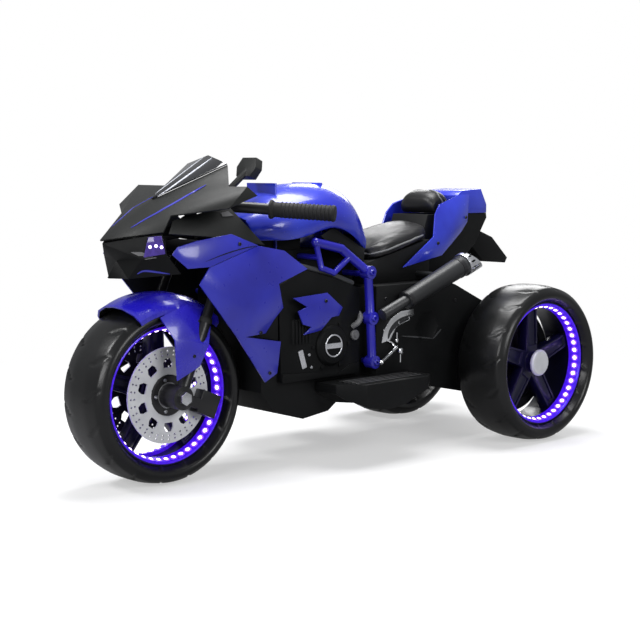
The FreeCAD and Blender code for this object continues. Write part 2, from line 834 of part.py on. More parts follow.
def front_fender():
    """Arched mudguard turned about the axle, with a faceted guard down each fork leg."""
    wall, half = size("panel_wall"), size("fender_half_width")
    inside = size("tyre_radius + fender_gap")
    low = inside + wall - size("fender_skirt")
    ring = fender_arch(inside + wall, half, low) + list(reversed(fender_arch(inside, half - wall, low)))
    section = Part.Face(Part.makePolygon([*ring, ring[0]]))
    span = size("fender_span")
    shape = section.revolve(Vector(), LEFT_NORMAL, span)
    shape.rotate(Vector(), LEFT_NORMAL, -span / 2 - size("fender_turn"))
    axle = Vector(0, -size("wheel_base") / 2, size("tyre_radius"))
    shape.translate(axle)
    points = {name: guard_point(*shares) for name, *shares in GUARD_SHARES}
    guard = facet_shell(points, GUARD_FACETS, wall, facing(LEFT_NORMAL))
    shape = shape.fuse([guard, guard.mirror(Vector(), LEFT_NORMAL)])
    up = steering_point(size("column_top")) - axle
    for side in (1, -1):
        foot = axle + Vector(side * size("fork_half"), 0, 0)
        shape = shape.cut(Part.makeCylinder(size("fork_slider_radius + seat_gap"), size("crown_low"), foot,
                                            up))
    keep(set_shape("fender_shape", shape.removeSplitter()), "front_fender")


BAR_BEND_SHARES = (0.50, -0.340, 0.978)
BAR_END_SHARES = (1.72, -0.206, 0.956)
POD_FOOT_SHARES = (0.0, -0.330, 0.975)
POD_SHARES = (0.0, -0.2225, 1.112)


def steering_point(height):
    """Point on the steering axis at a distance from the front axle."""
    lean = math.radians(size("rake_angle"))
    axle = Vector(0, -size("wheel_base") / 2, size("tyre_radius"))
    return axle + Vector(0, math.sin(lean), math.cos(lean)) * height


def handlebar():
    clamp = at_steering(cylinder("clamp", "clamp_radius", "clamp_height"), "column_top")
    middle = steering_point(size("column_top + clamp_height / 2"))
    bend, end = body_point(BAR_BEND_SHARES), body_point(BAR_END_SHARES)
    left = bent_bar("bar_left", "bar_radius", [middle, bend, end])
    right = bent_bar("bar_right", "bar_radius", [Vector(-p.x, p.y, p.z) for p in (middle, bend, end)])
    bars = fuse("bars", [clamp, *left, *right])
    bars.Refine = False
    keep(bars, "handlebar")
    grip = new_body("grip")
    outline = [("0 * grip_length", "bar_radius + running_gap"),
               ("grip_length - grip_cap", "bar_radius + running_gap"),
               ("grip_length - grip_cap", "0 * grip_length"), ("grip_length", "0 * grip_length"),
               ("grip_length", "grip_radius"),
               ("grip_length - grip_cap", "grip_flange_radius - grip_cap / 2"),
               ("grip_length - 2 * grip_cap", "grip_radius"), ("2 * grip_flange", "grip_radius"),
               ("grip_flange", "grip_flange_radius"), ("0 * grip_length", "grip_flange_radius")]
    revolve(grip, "grip_turn", polygon_sketch(grip, "grip_profile", "XY_Plane", outline))
    along = end - bend
    along.normalize()
    inner = end + along * (size("grip_cap + seat_gap") - size("grip_length"))
    grip.Placement = Placement(inner, Rotation(LEFT_NORMAL, along))
    keep(pair(grip, "grip_pair"), "handlebar_grips")


def instrument_pod():
    """Display block on a stem above the handlebar clamp, tipped towards the rider."""
    body = new_body("pod")
    wide, narrow = "pod_width / 2", "pod_width / 2 - pod_depth / 2"
    top, low = "pod_height / 2", "-pod_height / 2"
    outline = [(f"-({wide})", "0 * pod_height"), (f"-({narrow})", low), (narrow, low),
               (wide, "0 * pod_height"),
               (narrow, top), (f"-({narrow})", top)]
    pad(body, "pod_block", polygon_sketch(body, "pod_outline", "XZ_Plane", outline), "pod_depth", "Symmetric")
    centre = body_point(POD_SHARES)
    body.Placement = Placement(centre, Rotation(LEFT_NORMAL, -size("pod_tilt")))
    bind(body, Placement__Rotation__Angle="-pod_tilt")
    stem = rod("pod_stem", "pod_stem_radius", body_point(POD_FOOT_SHARES), centre)
    seat = at_steering(cylinder("pod_seat", "clamp_radius", "clamp_height + seat_gap"), "column_top")
    keep(cut("pod_seated", fuse("pod_on_stem", [stem, body]), seat), "instrument_pod")


# Chassis

def tub_front():
    return "wheel_well_gap + tyre_radius - wheel_base / 2"


TUB_NOSE_SHARE = 0.30
TUB_REAR_SHARE = 0.056
TUB_BELLY_SHARES = [(-0.250, 0.224), (-0.158, 0.180), (-0.078, 0.196), (-0.042, 0.236), (0.0, 0.224),
                    (TUB_REAR_SHARE, 0.236)]
DECK_SHARE = 0.660
SPINE_TOP_SHARE = 0.808
SPINE_SHARES = [(TUB_REAR_SHARE, 0.790), (-0.025, SPINE_TOP_SHARE), (-0.244, SPINE_TOP_SHARE)]
NECK_SHARE = 0.9
HOUSING_TOP_SHARE = 0.662
HOUSING_SHARES = [(0.300, HOUSING_TOP_SHARE), (0.340, 0.642), (0.500, 0.524), (0.5875, 0.452),
                  (0.6125, 0.360),
                  (0.6075, 0.260), (0.565, 0.212), (0.371, 0.196), (0.250, 0.238)]
HOUSING_NOSE_SHARE = 0.25
RECESS_SHARES = (0.234, 0.484)
TAIL_REAR_SHARES = [(0.315, 0.924), (0.5425, 0.924), (0.545, 0.904), (0.500, 0.796), (0.4125, 0.680),
                    (0.375, 0.6626)]
SEAT_TOP_SHARES = [(0.065, 0.744), (0.294, 0.826)]


def chassis():
    """Open tub, hollow spine above it with its neck, and the steering head that the neck holds."""
    rear = f"{TUB_REAR_SHARE} * wheel_base"
    deck = f"{DECK_SHARE} * body_height"
    outline = [(tub_front(), deck), (tub_front(), f"{TUB_NOSE_SHARE} * body_height"),
               *side_outline(TUB_BELLY_SHARES), (rear, deck)]
    keep(moulded_shell("tub", outline, "tub_half", faces_up), "chassis_tub")
    neck = f"{NECK_SHARE} * (column_radius + head_wall)"
    reach = "column_radius + head_wall + crown_depth"
    outline = [leaned(neck, "head_low"), leaned(reach, "head_low"), (tub_front(), f"{deck} + seat_gap"),
               (rear, f"{deck} + seat_gap"), *side_outline(SPINE_SHARES), leaned(reach, "head_top"),
               leaned(neck, "head_top")]
    body = moulded_shell("spine_shell", outline, "spine_half", faces_deck)
    ream = at_steering(cylinder("head_ream", "column_radius + head_wall + seat_gap", "column_top"))
    keep(cut("spine_cut", body, ream), "spine")
    outer = cylinder("head_outer", "column_radius + head_wall", "head_top - head_low",
                     Placement__Base__z="head_low")
    bore = cylinder("head_bore", "column_radius + running_gap", "column_top", Placement__Base__z="crown_low")
    tube = at_steering(cut("head_tube", outer, bore))
    keep(fuse("head_with_stay", [tube, *fairing_stay()]), "steering_head")


STAY_SHARES = (-0.55, 0.856)
STAY_ROOT_SHARE = 0.85


def fairing_stay():
    """Stem and cross plate in front of the steering head, which carry the nose."""
    along, up = side_outline([STAY_SHARES])[0]
    plate = block("stay_cross_plate", ("-stay_half", along, f"{up} - stay_plate / 2"),
                  ("stay_half", f"{along} + stay_depth", f"{up} + stay_plate / 2"))
    root = Vector(0, size(f"column_radius + {STAY_ROOT_SHARE} * head_wall"), 0)
    start = steering_point(size("(head_low + head_top) / 2")) - root
    stem = rod("stay_stem", "stay_radius", start, Vector(0, size(f"{along} + stay_depth / 2"), size(up)))
    return stem, plate


def rear_housing():
    """Rear shell over axle and gearboxes, open below, with a six-sided recess in each side."""
    front = f"{TUB_REAR_SHARE} * wheel_base + seat_gap"
    outline = [(front, f"{HOUSING_TOP_SHARE} * body_height"), *side_outline(HOUSING_SHARES),
               (front, f"{HOUSING_NOSE_SHARE} * body_height")]
    body = moulded_shell("housing", outline, "housing_half", faces_down)
    holes = circle_sketch(body, "axle_holes", "YZ_Plane",
                          [("wheel_base / 2", "tyre_radius", "coupling_radius + coupling_gap")])
    pocket(body, "axle_bores", holes, "2 * (housing_half + cut_overrun)", "Symmetric")
    along, up = side_outline([RECESS_SHARES])[0]
    corners = [(f"{along} + housing_recess_radius * cos({angle})",
                f"{up} + housing_recess_radius * sin({angle})")
               for angle in range(0, 360, 60)]
    for side in (1, -1):
        name = f"side_recess_{'left' if side > 0 else 'right'}"
        sketch = polygon_sketch(body, name + "_outline", "YZ_Plane", corners, f"{side} * housing_half")
        pocket(body, name, sketch, "housing_recess_depth", reverse=side < 0)
    keep(body, "rear_housing")


def seat_and_tail_bases():
    foot = f"{HOUSING_TOP_SHARE} * body_height + seat_gap"
    front, back = side_outline(SEAT_TOP_SHARES)
    outline = [(front[0], foot), front, back, (back[0], foot)]
    keep(moulded_shell("seat_base_shell", outline, "seat_base_half", faces_down), "seat_base")
    start = f"{back[0]} + seat_gap"
    outline = [(start, foot), (start, back[1]), *side_outline(TAIL_REAR_SHARES)]
    keep(moulded_shell("tail_base_shell", outline, "tail_base_half", faces_down), "tail_base")


HUMP_SHARES = [(0.4225, 1.0), (0.440, 1.020), (0.515, 1.026), (0.538, 0.96)]
BRACKET_SHARES = [(0.525, 0.856), (0.594, 0.816), (0.659, 0.722), (0.650, 0.700), (0.559, 0.712),
                  (0.500, 0.796)]


def tail_pieces():
    foot = f"{TAIL_REAR_SHARES[0][1]} * body_height + seat_gap"
    outline = [(f"{HUMP_SHARES[0][0]} * wheel_base", foot), *side_outline(HUMP_SHARES),
               (f"{HUMP_SHARES[-1][0]} * wheel_base", foot)]
    keep(moulded_shell("hump_shell", outline, "hump_half", faces_down), "tail_hump")
    body = new_body("bracket")
    outline = [(f"{along} + seat_gap", up) for along, up in side_outline(BRACKET_SHARES)]
    pad(body, "bracket_arm", polygon_sketch(body, "bracket_profile", "YZ_Plane", outline),
        "2 * bracket_half", "Symmetric")
    keep(body, "tail_bracket")


# Bodywork

COWL_SHARES = [("nose", 0.0, -0.635, 0.870), ("ridge", 0.0, -0.499, 1.004),
               ("shoulder", 0.464, -0.344, 1.126), ("notch", 0.704, -0.371, 1.050),
               ("wing_root", 0.600, -0.516, 0.954), ("wing_low", 1.320, -0.446, 0.980),
               ("wing_top", 1.296, -0.394, 1.052), ("wing_rear", 1.296, -0.365, 1.020),
               ("brow", 0.640, -0.541, 0.898)]
COWL_FACETS = [("nose", "wing_root", "ridge"), ("ridge", "wing_root", "notch"),
               ("ridge", "notch", "shoulder"),
               ("wing_root", "wing_low", "wing_top"), ("wing_root", "wing_top", "notch"),
               ("wing_low", "wing_rear", "wing_top"), ("nose", "brow", "wing_root")]
SCREEN_TOP_SHARES = (0.0, -0.340, 1.156)
CHIN_SHARES = [("nose", 0.0, -0.629, 0.858), ("brow", 0.480, -0.565, 0.884),
               ("temple", 0.632, -0.5425, 0.890), ("throat", 0.0, -0.594, 0.796),
               ("cheek", 0.464, -0.5775, 0.806), ("jaw", 0.688, -0.5375, 0.820),
               ("tip", 0.0, -0.6175, 0.740), ("lip", 0.24, -0.590, 0.736), ("heel", 0.68, -0.500, 0.752)]
CHIN_FACETS = [("nose", "throat", "cheek"), ("nose", "cheek", "brow"), ("brow", "cheek", "jaw"),
               ("brow", "jaw", "temple"),
               ("throat", "tip", "lip"), ("throat", "lip", "cheek"), ("cheek", "lip", "heel"),
               ("cheek", "heel", "jaw")]
LENS_INSET_SHARE = 0.12


NOSE_POST_SHARES = (0.32, 0.27)


def nose_pieces():
    """Cowl, screen, chin and headlights, the first and third standing on the stay by their posts."""
    wall = size("panel_wall")
    along, up = (size(text) for text in side_outline([STAY_SHARES])[0])
    across, chin_across = (share * size("body_half_width") for share in NOSE_POST_SHARES)
    points, facets = both_sides(shares_to_points(COWL_SHARES), COWL_FACETS)
    skin = facet_shell(points, facets, wall, two_sided(Vector(1, -0.5, 1)))
    feet = [Vector(side * across, along + size("stay_depth / 2"), up + size("stay_plate / 2"))
            for side in (1, -1)]
    keep(set_shape("cowl_shape", with_posts(skin, points, facets, feet, Vector(0, 0, 1))), "nose_cowl")
    screen = {name: points[name] for name in ("ridge", "shoulder")}
    screen["top"] = body_point(SCREEN_TOP_SHARES)
    pane = facet_shell(*both_sides(screen, [("ridge", "shoulder", "top")]), wall, two_sided(Vector(1, -1, 1)),
                       size("seat_gap"))
    keep(set_shape("screen_shape", pane), "windscreen")
    left = shares_to_points(CHIN_SHARES)
    points, facets = both_sides(left, CHIN_FACETS)
    skin = facet_shell(points, facets, wall, two_sided(Vector(0.5, -1, 0.2)))
    feet = [Vector(side * chin_across, along, up) for side in (1, -1)]
    keep(set_shape("chin_shape", with_posts(skin, points, facets, feet, Vector(0, -1, 0))), "chin_cowl")
    middle = (left["brow"] + left["jaw"]) * 0.5
    lens = {name: left[name] + (middle - left[name]) * LENS_INSET_SHARE
            for name in ("brow", "cheek", "jaw", "temple")}
    glass = facet_shell(lens, [("brow", "cheek", "jaw"), ("brow", "jaw", "temple")], wall,
                        facing(Vector(0.5, -1, 0.2)),
                        size("seat_gap"))
    keep(pair(set_shape("lens_shape", glass), "lens_pair"), "headlights")


SIDE_COVER_SHARES = [("front", 0.58, -0.508, 0.936), ("brow", 0.66, -0.528, 0.892),
                     ("middle", 0.82, -0.430, 0.878), ("top", 0.72, -0.375, 0.984),
                     ("rear", 0.80, -0.281, 0.840)]
SIDE_COVER_POST_SHARES = [(-0.3125, 0.868)]
SIDE_COVER_FACETS = [("front", "brow", "middle"), ("front", "middle", "top"), ("top", "middle", "rear")]
UPPER_SHARES = [("front_low", 0.736, -0.530, 0.822), ("front_top", 0.760, -0.519, 0.846),
                ("eye", 0.816, -0.474, 0.866), ("peak", 0.872, -0.385, 0.886),
                ("rear", 0.904, -0.3125, 0.842), ("seam", 0.912, -0.449, 0.775),
                ("seam_front", 0.848, -0.500, 0.772)]
UPPER_FACETS = [("front_low", "seam_front", "front_top"), ("front_top", "seam_front", "seam"),
                ("front_top", "seam", "eye"),
                ("eye", "seam", "peak"), ("peak", "seam", "rear")]
LOWER_SHARES = [("front", 0.976, -0.484, 0.718), ("seam", 0.912, -0.450, 0.7724),
                ("seam_rear", 0.904, -0.311, 0.8398), ("back", 0.896, -0.236, 0.818),
                ("spur", 0.896, -0.166, 0.746), ("notch", 0.976, -0.2625, 0.702),
                ("fold_front", 1.008, -0.346, 0.596), ("fold_rear", 0.992, -0.2525, 0.614),
                ("waist", 0.960, -0.275, 0.574), ("slot_top", 0.936, -0.2975, 0.526),
                ("slot", 0.936, -0.355, 0.520), ("slot_low", 0.936, -0.2525, 0.490),
                ("tail", 0.928, -0.2625, 0.376), ("tip", 0.928, -0.2975, 0.348),
                ("edge", 0.952, -0.381, 0.524)]
LOWER_FACETS = [("front", "fold_front", "seam"), ("seam", "fold_front", "notch"),
                ("seam", "notch", "seam_rear"),
                ("seam_rear", "notch", "back"), ("back", "notch", "spur"),
                ("fold_front", "fold_rear", "notch"),
                ("front", "edge", "fold_front"), ("edge", "slot", "fold_front"),
                ("fold_front", "slot", "slot_top"),
                ("fold_front", "slot_top", "waist"), ("fold_front", "waist", "fold_rear"),
                ("edge", "tip", "slot"),
                ("slot", "tip", "tail"), ("slot", "tail", "slot_low")]
LOWER_POST_SHARES = [(-0.2625, 0.644), (-0.266, 0.430)]
DUCT_SHARES = [("front", 0.96, -0.2175, 0.644), ("top", 0.944, -0.111, 0.654),
               ("rear", 0.944, -0.0625, 0.594), ("rear_low", 0.944, -0.074, 0.564),
               ("crest", 0.984, -0.1025, 0.562), ("heel", 0.944, -0.131, 0.516),
               ("toe", 0.928, -0.181, 0.504), ("low_notch", 0.96, -0.161, 0.532),
               ("low_spike", 0.96, -0.1875, 0.544), ("spike", 0.96, -0.2025, 0.594),
               ("notch", 0.96, -0.175, 0.608)]
DUCT_FACETS = [("front", "notch", "top"), ("notch", "crest", "top"), ("top", "crest", "rear"),
               ("rear", "crest", "rear_low"),
               ("notch", "spike", "low_spike"), ("notch", "low_spike", "low_notch"),
               ("notch", "low_notch", "crest"),
               ("low_notch", "heel", "crest"), ("low_notch", "toe", "heel")]
DUCT_POST_SHARES = [(-0.12, 0.60)]
KNEE_SHARES = [("front", 0.704, -0.0975, 0.862), ("top", 0.672, -0.0525, 0.892),
               ("rear", 0.504, 0.075, 0.800), ("low", 0.672, 0.0475, 0.744), ("side", 0.720, -0.040, 0.792)]
KNEE_FACETS = [("front", "side", "top"), ("top", "side", "low"), ("top", "low", "rear")]
KNEE_POST_SHARES = [(0.019, 0.776)]
TAIL_SHARES = [("spur", 0.696, 0.180, 0.722), ("hip", 0.640, 0.299, 0.836), ("rise", 0.576, 0.315, 0.928),
               ("shoulder", 0.544, 0.336, 0.966), ("crest", 0.496, 0.415, 1.004),
               ("top", 0.512, 0.454, 1.004), ("rear", 0.576, 0.4375, 0.892),
               ("rear_low", 0.592, 0.411, 0.850), ("under", 0.664, 0.326, 0.760),
               ("ridge", 0.672, 0.356, 0.864)]
TAIL_FACETS = [("spur", "under", "hip"), ("hip", "under", "ridge"), ("hip", "ridge", "rise"),
               ("rise", "ridge", "shoulder"),
               ("shoulder", "ridge", "crest"), ("crest", "ridge", "top"), ("top", "ridge", "rear"),
               ("rear", "ridge", "rear_low"), ("rear_low", "ridge", "under")]
TAIL_POST_SHARES = [(0.362, 0.880), (0.345, 0.820)]


def side_bodywork():
    """Mirrored side panels; the lower fairing's upper edge follows the upper fairing at the shut line."""
    upper = shares_to_points(UPPER_SHARES)
    lower = shares_to_points(LOWER_SHARES)
    for name, match in (("seam", "seam"), ("seam_rear", "rear")):
        lower[name] = upper[match] - Vector(0, 0, size("shut_line"))
    cover = side_panel("side_cover", shares_to_points(SIDE_COVER_SHARES), SIDE_COVER_FACETS, "spine_half",
                       SIDE_COVER_POST_SHARES)
    keep(pair(cover, "side_covers"), "cowl_side_panels")
    panel = side_panel("upper_fairing", upper, UPPER_FACETS, square=("seam", "rear", "seam_front"))
    keep(pair(panel, "upper_pair"), "upper_fairings")
    panel = side_panel("lower_fairing", lower, LOWER_FACETS, "tub_half", LOWER_POST_SHARES,
                       ("seam", "seam_rear"))
    keep(pair(panel, "lower_pair"), "lower_fairings")
    panel = side_panel("tail_cowl", shares_to_points(TAIL_SHARES), TAIL_FACETS, "tail_base_half",
                       TAIL_POST_SHARES)
    keep(pair(panel, "tail_pair"), "tail_cowls")
    panel = side_panel("duct", shares_to_points(DUCT_SHARES), DUCT_FACETS, "tub_half + engine_cover_depth",
                       DUCT_POST_SHARES)
    keep(pair(panel, "ducts"), "duct_panels")
    panel = side_panel("knee", shares_to_points(KNEE_SHARES), KNEE_FACETS, "spine_half", KNEE_POST_SHARES)
    keep(pair(panel, "knees"), "knee_pads")


# One row for each station along the tank: place, half width, foot, crease and crown.
TANK_SHARES = [(-0.281, 0.50, 0.846, 0.880, 0.940), (-0.2125, 0.72, 0.852, 0.900, 1.004),
               (-0.1375, 0.78, 0.868, 0.910, 1.048),
               (-0.0625, 0.784, 0.892, 0.925, 1.056), (0.0125, 0.70, 0.856, 0.900, 1.036),
               (0.056, 0.58, 0.820, 0.870, 0.976),
               (0.0875, 0.46, 0.800, 0.830, 0.900)]
TANK_ARCH_SHARES = [(0.95, None), (1.0, 0.0), (0.80, 0.62), (0.35, 0.96), (0.0, 1.0)]
TANK_RIB_SHARES = (-0.1875, -0.045)
BUTTON_SHARE = -0.166


def tank_section(row, inset):
    """Arched section of the tank at one station, drawn in by an inset that also drops its open foot."""
    along, half, foot, crease, crown = row
    wide = half * size("body_half_width") - inset
    foot, crease, crown = (share * size("body_height") for share in (foot, crease, crown))
    crown -= inset
    left = []
    for across, rise in TANK_ARCH_SHARES:
        up = foot - (size("cut_overrun")
                     if inset else 0) if rise is None else crease + (crown - crease) * rise
        left.append(Vector(-wide * across, along, up))
    arch = left + [Vector(-place.x, place.y, place.z) for place in reversed(left[:-1])]
    curve = Part.BSplineCurve()
    curve.interpolate(arch)
    return Part.Wire([curve.toShape(), Part.makeLine(arch[-1], arch[0])])


def tank_form(inset):
    places = [row[0] * size("wheel_base") for row in TANK_SHARES]
    places[0] += inset
    places[-1] -= inset
    wires = [tank_section((place, *row[1:]), inset) for place, row in zip(places, TANK_SHARES)]
    return Part.makeLoft(wires, True, False)


def neck_notch():
    """Room for the spine's neck at the front of the tank."""
    gap = size("shut_line")
    half = size("spine_half") + gap
    front = TANK_SHARES[0][0] * size("wheel_base") - size("cut_overrun")
    back = TANK_SHARES[1][0] * size("wheel_base")
    heights = [size(leaned("0 * wheel_base", "head_top")[1]), SPINE_TOP_SHARE * size("body_height")]
    low = min(heights) - size("cut_overrun")
    return Part.makeBox(2 * half, back - front, max(heights) + gap - low, Vector(-half, front, low))


def fuel_tank():
    """Lofted tank cover, open below, with two moulded ribs that stand on the spine and a hole for the button."""
    wall, reach = size("panel_wall"), size("body_half_width")
    outer, inner = tank_form(0), tank_form(wall)
    shell = outer.cut(inner)
    floor = SPINE_TOP_SHARE * size("body_height") + size("seat_gap")
    foot_half = size("spine_half") - wall
    for share in TANK_RIB_SHARES:
        along = share * size("wheel_base")
        slab = Part.makeBox(2 * reach, wall, reach, Vector(-reach, along, floor))
        foot = Part.makeBox(2 * foot_half, wall, reach, Vector(-foot_half, along, floor))
        shell = shell.fuse(outer.common(slab.fuse(foot))).fuse(foot.cut(outer))
    shell = shell.cut(neck_notch())
    along = BUTTON_SHARE * size("wheel_base")
    hole = Part.makeCylinder(size("button_radius + button_gap"), size("body_height"), Vector(0, along, floor))
    keep(set_shape("tank_shape", shell.cut(hole)), "fuel_tank_cover")
    line = Part.makeLine(Vector(0, along, floor), Vector(0, along, size("2 * body_height")))
    top = max(vertex.Z for vertex in outer.common(line).Vertexes) + size("button_proud")
    button = cylinder("button", "button_radius", "button_height")
    button.Placement = Placement(Vector(0, along, top - size("button_height")), Rotation())
    keep(button, "power_button")


# One row for each station along the seat: place, half width, crown half width and thickness.
SEAT_SHARES = [(0.092, 0.46, 0.30, 0.052), (0.120, 0.655, 0.44, 0.068), (0.185, 0.655, 0.44, 0.076),
               (0.245, 0.60, 0.42, 0.082),
               (0.290, 0.54, 0.38, 0.078)]
PAD_SHARES = [(-0.40, 0.050, 0.62), (-0.24, 0.064, 0.95), (0.0, 0.066, 1.0), (0.24, 0.064, 0.95),
              (0.40, 0.050, 0.62)]
PAD_CENTRE_SHARE = 0.370
PAD_HEIGHT_SHARE = 0.104
CUSHION_FOOT_SHARE = 0.94
CUSHION_SHOULDER_SHARE = 0.86
CUSHION_SIDE_SHARE = 0.42
PAD_DEPTH_SHARE = 0.62
PAD_TOP_SHARES = (0.5, 0.92)
PAD_SIDE_SHARE = 0.5


def arc(start, middle, end):
    return Part.Arc(start, middle, end).toShape()


def seat_cushion():
    """Crowned cushion on the sloping seat base, drawn in at its sides and narrow towards the tank."""
    (front, front_up), (back, back_up) = SEAT_TOP_SHARES
    half_width, height = size("body_half_width"), size("body_height")
    wires = []
    for along, half, crown, thick in SEAT_SHARES:
        place = along * size("wheel_base")
        slope = (back_up - front_up) * (along - front) / (back - front)
        floor = (front_up + slope) * height + size("seat_gap")
        wide, narrow, high = half * half_width, crown * half_width, thick * height
        foot, shoulder = wide * CUSHION_FOOT_SHARE, floor + high * CUSHION_SHOULDER_SHARE
        side = floor + high * CUSHION_SIDE_SHARE
        low_left, low_right = Vector(-foot, place, floor), Vector(foot, place, floor)
        left, right = Vector(-narrow, place, shoulder), Vector(narrow, place, shoulder)
        wires.append(Part.Wire([Part.makeLine(low_left, low_right),
                                arc(low_right, Vector(wide, place, side), right),
                                arc(right, Vector(0, place, floor + high), left),
                                arc(left, Vector(-wide, place, side), low_left)]))
    keep(set_shape("cushion_shape", Part.makeLoft(wires, True, False)), "seat_cushion")


def backrest_pad():
    """Bolster between the tail cowls, flat where it rests on the tail base."""
    floor = TAIL_REAR_SHARES[0][1] * size("body_height") + size("seat_gap")
    centre = PAD_CENTRE_SHARE * size("wheel_base")
    top_reach, top_rise = PAD_TOP_SHARES
    wires = []
    for across, depth, rise in PAD_SHARES:
        place = across * size("body_half_width")
        half = depth * size("wheel_base") * PAD_DEPTH_SHARE
        high = PAD_HEIGHT_SHARE * size("body_height") * rise
        foot, side = half * PAD_DEPTH_SHARE, floor + high * PAD_SIDE_SHARE
        back, front = Vector(place, centre + foot, floor), Vector(place, centre - foot, floor)
        top_front, top_back = (Vector(place, centre + step * half * top_reach, floor + high * top_rise)
                               for step in (-1, 1))
        wires.append(Part.Wire([Part.makeLine(front, back),
                                arc(back, Vector(place, centre + half, side), top_back),
                                arc(top_back, Vector(place, centre, floor + high), top_front),
                                arc(top_front, Vector(place, centre - half, side), front)]))
    keep(set_shape("pad_shape", Part.makeLoft(wires, True, False)), "backrest_pad")


# Engine, frame tubes, exhaust and footrests

ENGINE_SHARES = [(-0.2375, 0.332), (-0.244, 0.690), (-0.166, 0.742), (-0.075, 0.704), (-0.0175, 0.672),
                 (0.010, 0.660), (0.010, 0.332)]
SUMP_SHARES = [(-0.2375, 0.332), (-0.236, 0.364), (-0.140, 0.356), (-0.105, 0.340), (-0.060, 0.340),
               (-0.020, 0.372),
               (0.006, 0.372), (0.006, 0.332)]
FIN_SHARES = [(-0.206, 0.470), (-0.206, 0.560)]
CLUTCH_SHARES = (-0.084, 0.450)
ROCKER_SHARES = (-0.030, 0.600)
SOCKET_SHARES = (-0.1875, 0.410)
VENT_SHARES = [(-0.3525, 0.522), (-0.246, 0.492), (-0.246, 0.600), (-0.2775, 0.576), (-0.300, 0.536)]


def engine_block(body, face):
    """Plate with the outline of the engine, a stepped sump along its foot and upright cooling fins."""
    pad(body, "engine_plate", polygon_sketch(body, "engine_outline", "YZ_Plane",
                                             side_outline(ENGINE_SHARES), "tub_half"),
        "engine_cover_depth")
    pad(body, "sump", polygon_sketch(body, "sump_outline", "YZ_Plane", side_outline(SUMP_SHARES), face),
        "sump_step")
    (along, low), (_, high) = side_outline(FIN_SHARES)
    outline = [(along, low), (f"{along} + fin_thickness", low), (f"{along} + fin_thickness", high),
               (along, high)]
    fin = pad(body, "fin", polygon_sketch(body, "fin_outline", "YZ_Plane", outline, face), "fin_height")
    fins = body.newObject("PartDesign::LinearPattern", "fins")
    fins.Originals = [fin]
    fins.Direction = (origin_item(body, "Y_Axis"), [""])
    bind(fins, Length="fin_pitch * (fin_count - 1)", Occurrences="fin_count")
    body.Tip = fins


def clutch_lid(body, face):
    """Raised round lid with a bevelled rim and a ring of bolt heads."""
    along, up = side_outline([CLUTCH_SHARES])[0]
    lid = pad(body, "clutch_lid", circle_sketch(body, "clutch_outline", "YZ_Plane",
                                                [(along, up, "clutch_radius")], face),
              "clutch_depth")
    doc.recompute()
    top = size(f"{face} + clutch_depth")
    rim_edge = [f"Edge{index}" for index, edge in enumerate(lid.Shape.Edges, 1)
                if hasattr(edge.Curve, "Radius") and abs(edge.Curve.Center.x - top) < size("rim_press_gap")]
    bevel = body.newObject("PartDesign::Chamfer", "clutch_bevel")
    bevel.Base = (lid, rim_edge)
    bind(bevel, Size="clutch_chamfer")
    body.Tip = bevel
    step = 360 / size("cover_bolt_count")
    for index in range(int(size("cover_bolt_count"))):
        place = (f"{along} + cover_bolt_circle * cos({step * index})",
                 f"{up} + cover_bolt_circle * sin({step * index})")
        head = circle_sketch(body, f"bolt_outline_{index}", "YZ_Plane", [(*place, "cover_bolt_radius")], face)
        body.Tip = pad(body, f"bolt_head_{index}", head, "cover_bolt_height")


def engine_covers():
    """Engine covers; the right one also takes the rocker and the charging plug."""
    body = new_body("engine")
    face = "tub_half + engine_cover_depth"
    engine_block(body, face)
    clutch_lid(body, face)
    keep(body, "engine_cover_left")
    right = mirrored(body, "engine_mirror")
    along, up = side_outline([ROCKER_SHARES])[0]
    outside = "-tub_half - engine_cover_depth"
    half_long, half_wide = "rocker_length / 2 + rocker_gap", "rocker_width / 2 + rocker_gap"
    recess = block("rocker_recess_cut",
                   (f"{outside} - cut_overrun", f"{along} - ({half_long})", f"{up} - ({half_wide})"),
                   (f"{outside} + rocker_recess", f"{along} + {half_long}", f"{up} + {half_wide}"))
    drill_along, drill_up = side_outline([SOCKET_SHARES])[0]
    drill = cross_cylinder("socket_drill", "socket_radius", f"{outside} - cut_overrun",
                           f"{outside} + socket_depth",
                           drill_along, drill_up)
    keep(cut("engine_right", right, fuse("engine_right_tools", [recess, drill])), "engine_cover_right")
    low = f"{outside} + rocker_recess - rocker_depth"
    lever = block("rocker", (low, f"{along} - rocker_length / 2", f"{up} - rocker_width / 2"),
                  (f"{outside} + rocker_recess / 2", f"{along} + rocker_length / 2",
                   f"{up} + rocker_width / 2"))
    keep(lever, "direction_switch")
    vent = new_body("vent")
    pad(vent, "vent_plate", polygon_sketch(vent, "vent_outline", "YZ_Plane", side_outline(VENT_SHARES),
                                           "tub_half"),
        "engine_cover_depth")
    keep(pair(vent, "vents"), "side_vents")


def clutch_trims():
    """Bright ring with a plain bar on each clutch lid."""
    start = "tub_half + engine_cover_depth + clutch_depth"
    along, up = side_outline([CLUTCH_SHARES])[0]
    body = new_body("trim")
    rings = circle_sketch(body, "trim_circles", "YZ_Plane", [(along, up, "trim_ring_radius"),
                                                             (along, up,
                                                              "trim_ring_radius - trim_ring_width")], start)
    pad(body, "trim_ring", rings, "trim_ring_depth")
    half = "trim_ring_radius - trim_ring_width / 2"
    outline = [(f"{along} - ({half})", f"{up} - trim_bar_half"),
               (f"{along} + {half}", f"{up} - trim_bar_half"),
               (f"{along} + {half}", f"{up} + trim_bar_half"),
               (f"{along} - ({half})", f"{up} + trim_bar_half")]
    pad(body, "trim_bar", polygon_sketch(body, "trim_bar_outline", "YZ_Plane", outline, start),
        "trim_ring_depth")
    keep(pair(body, "trims"), "clutch_trims")


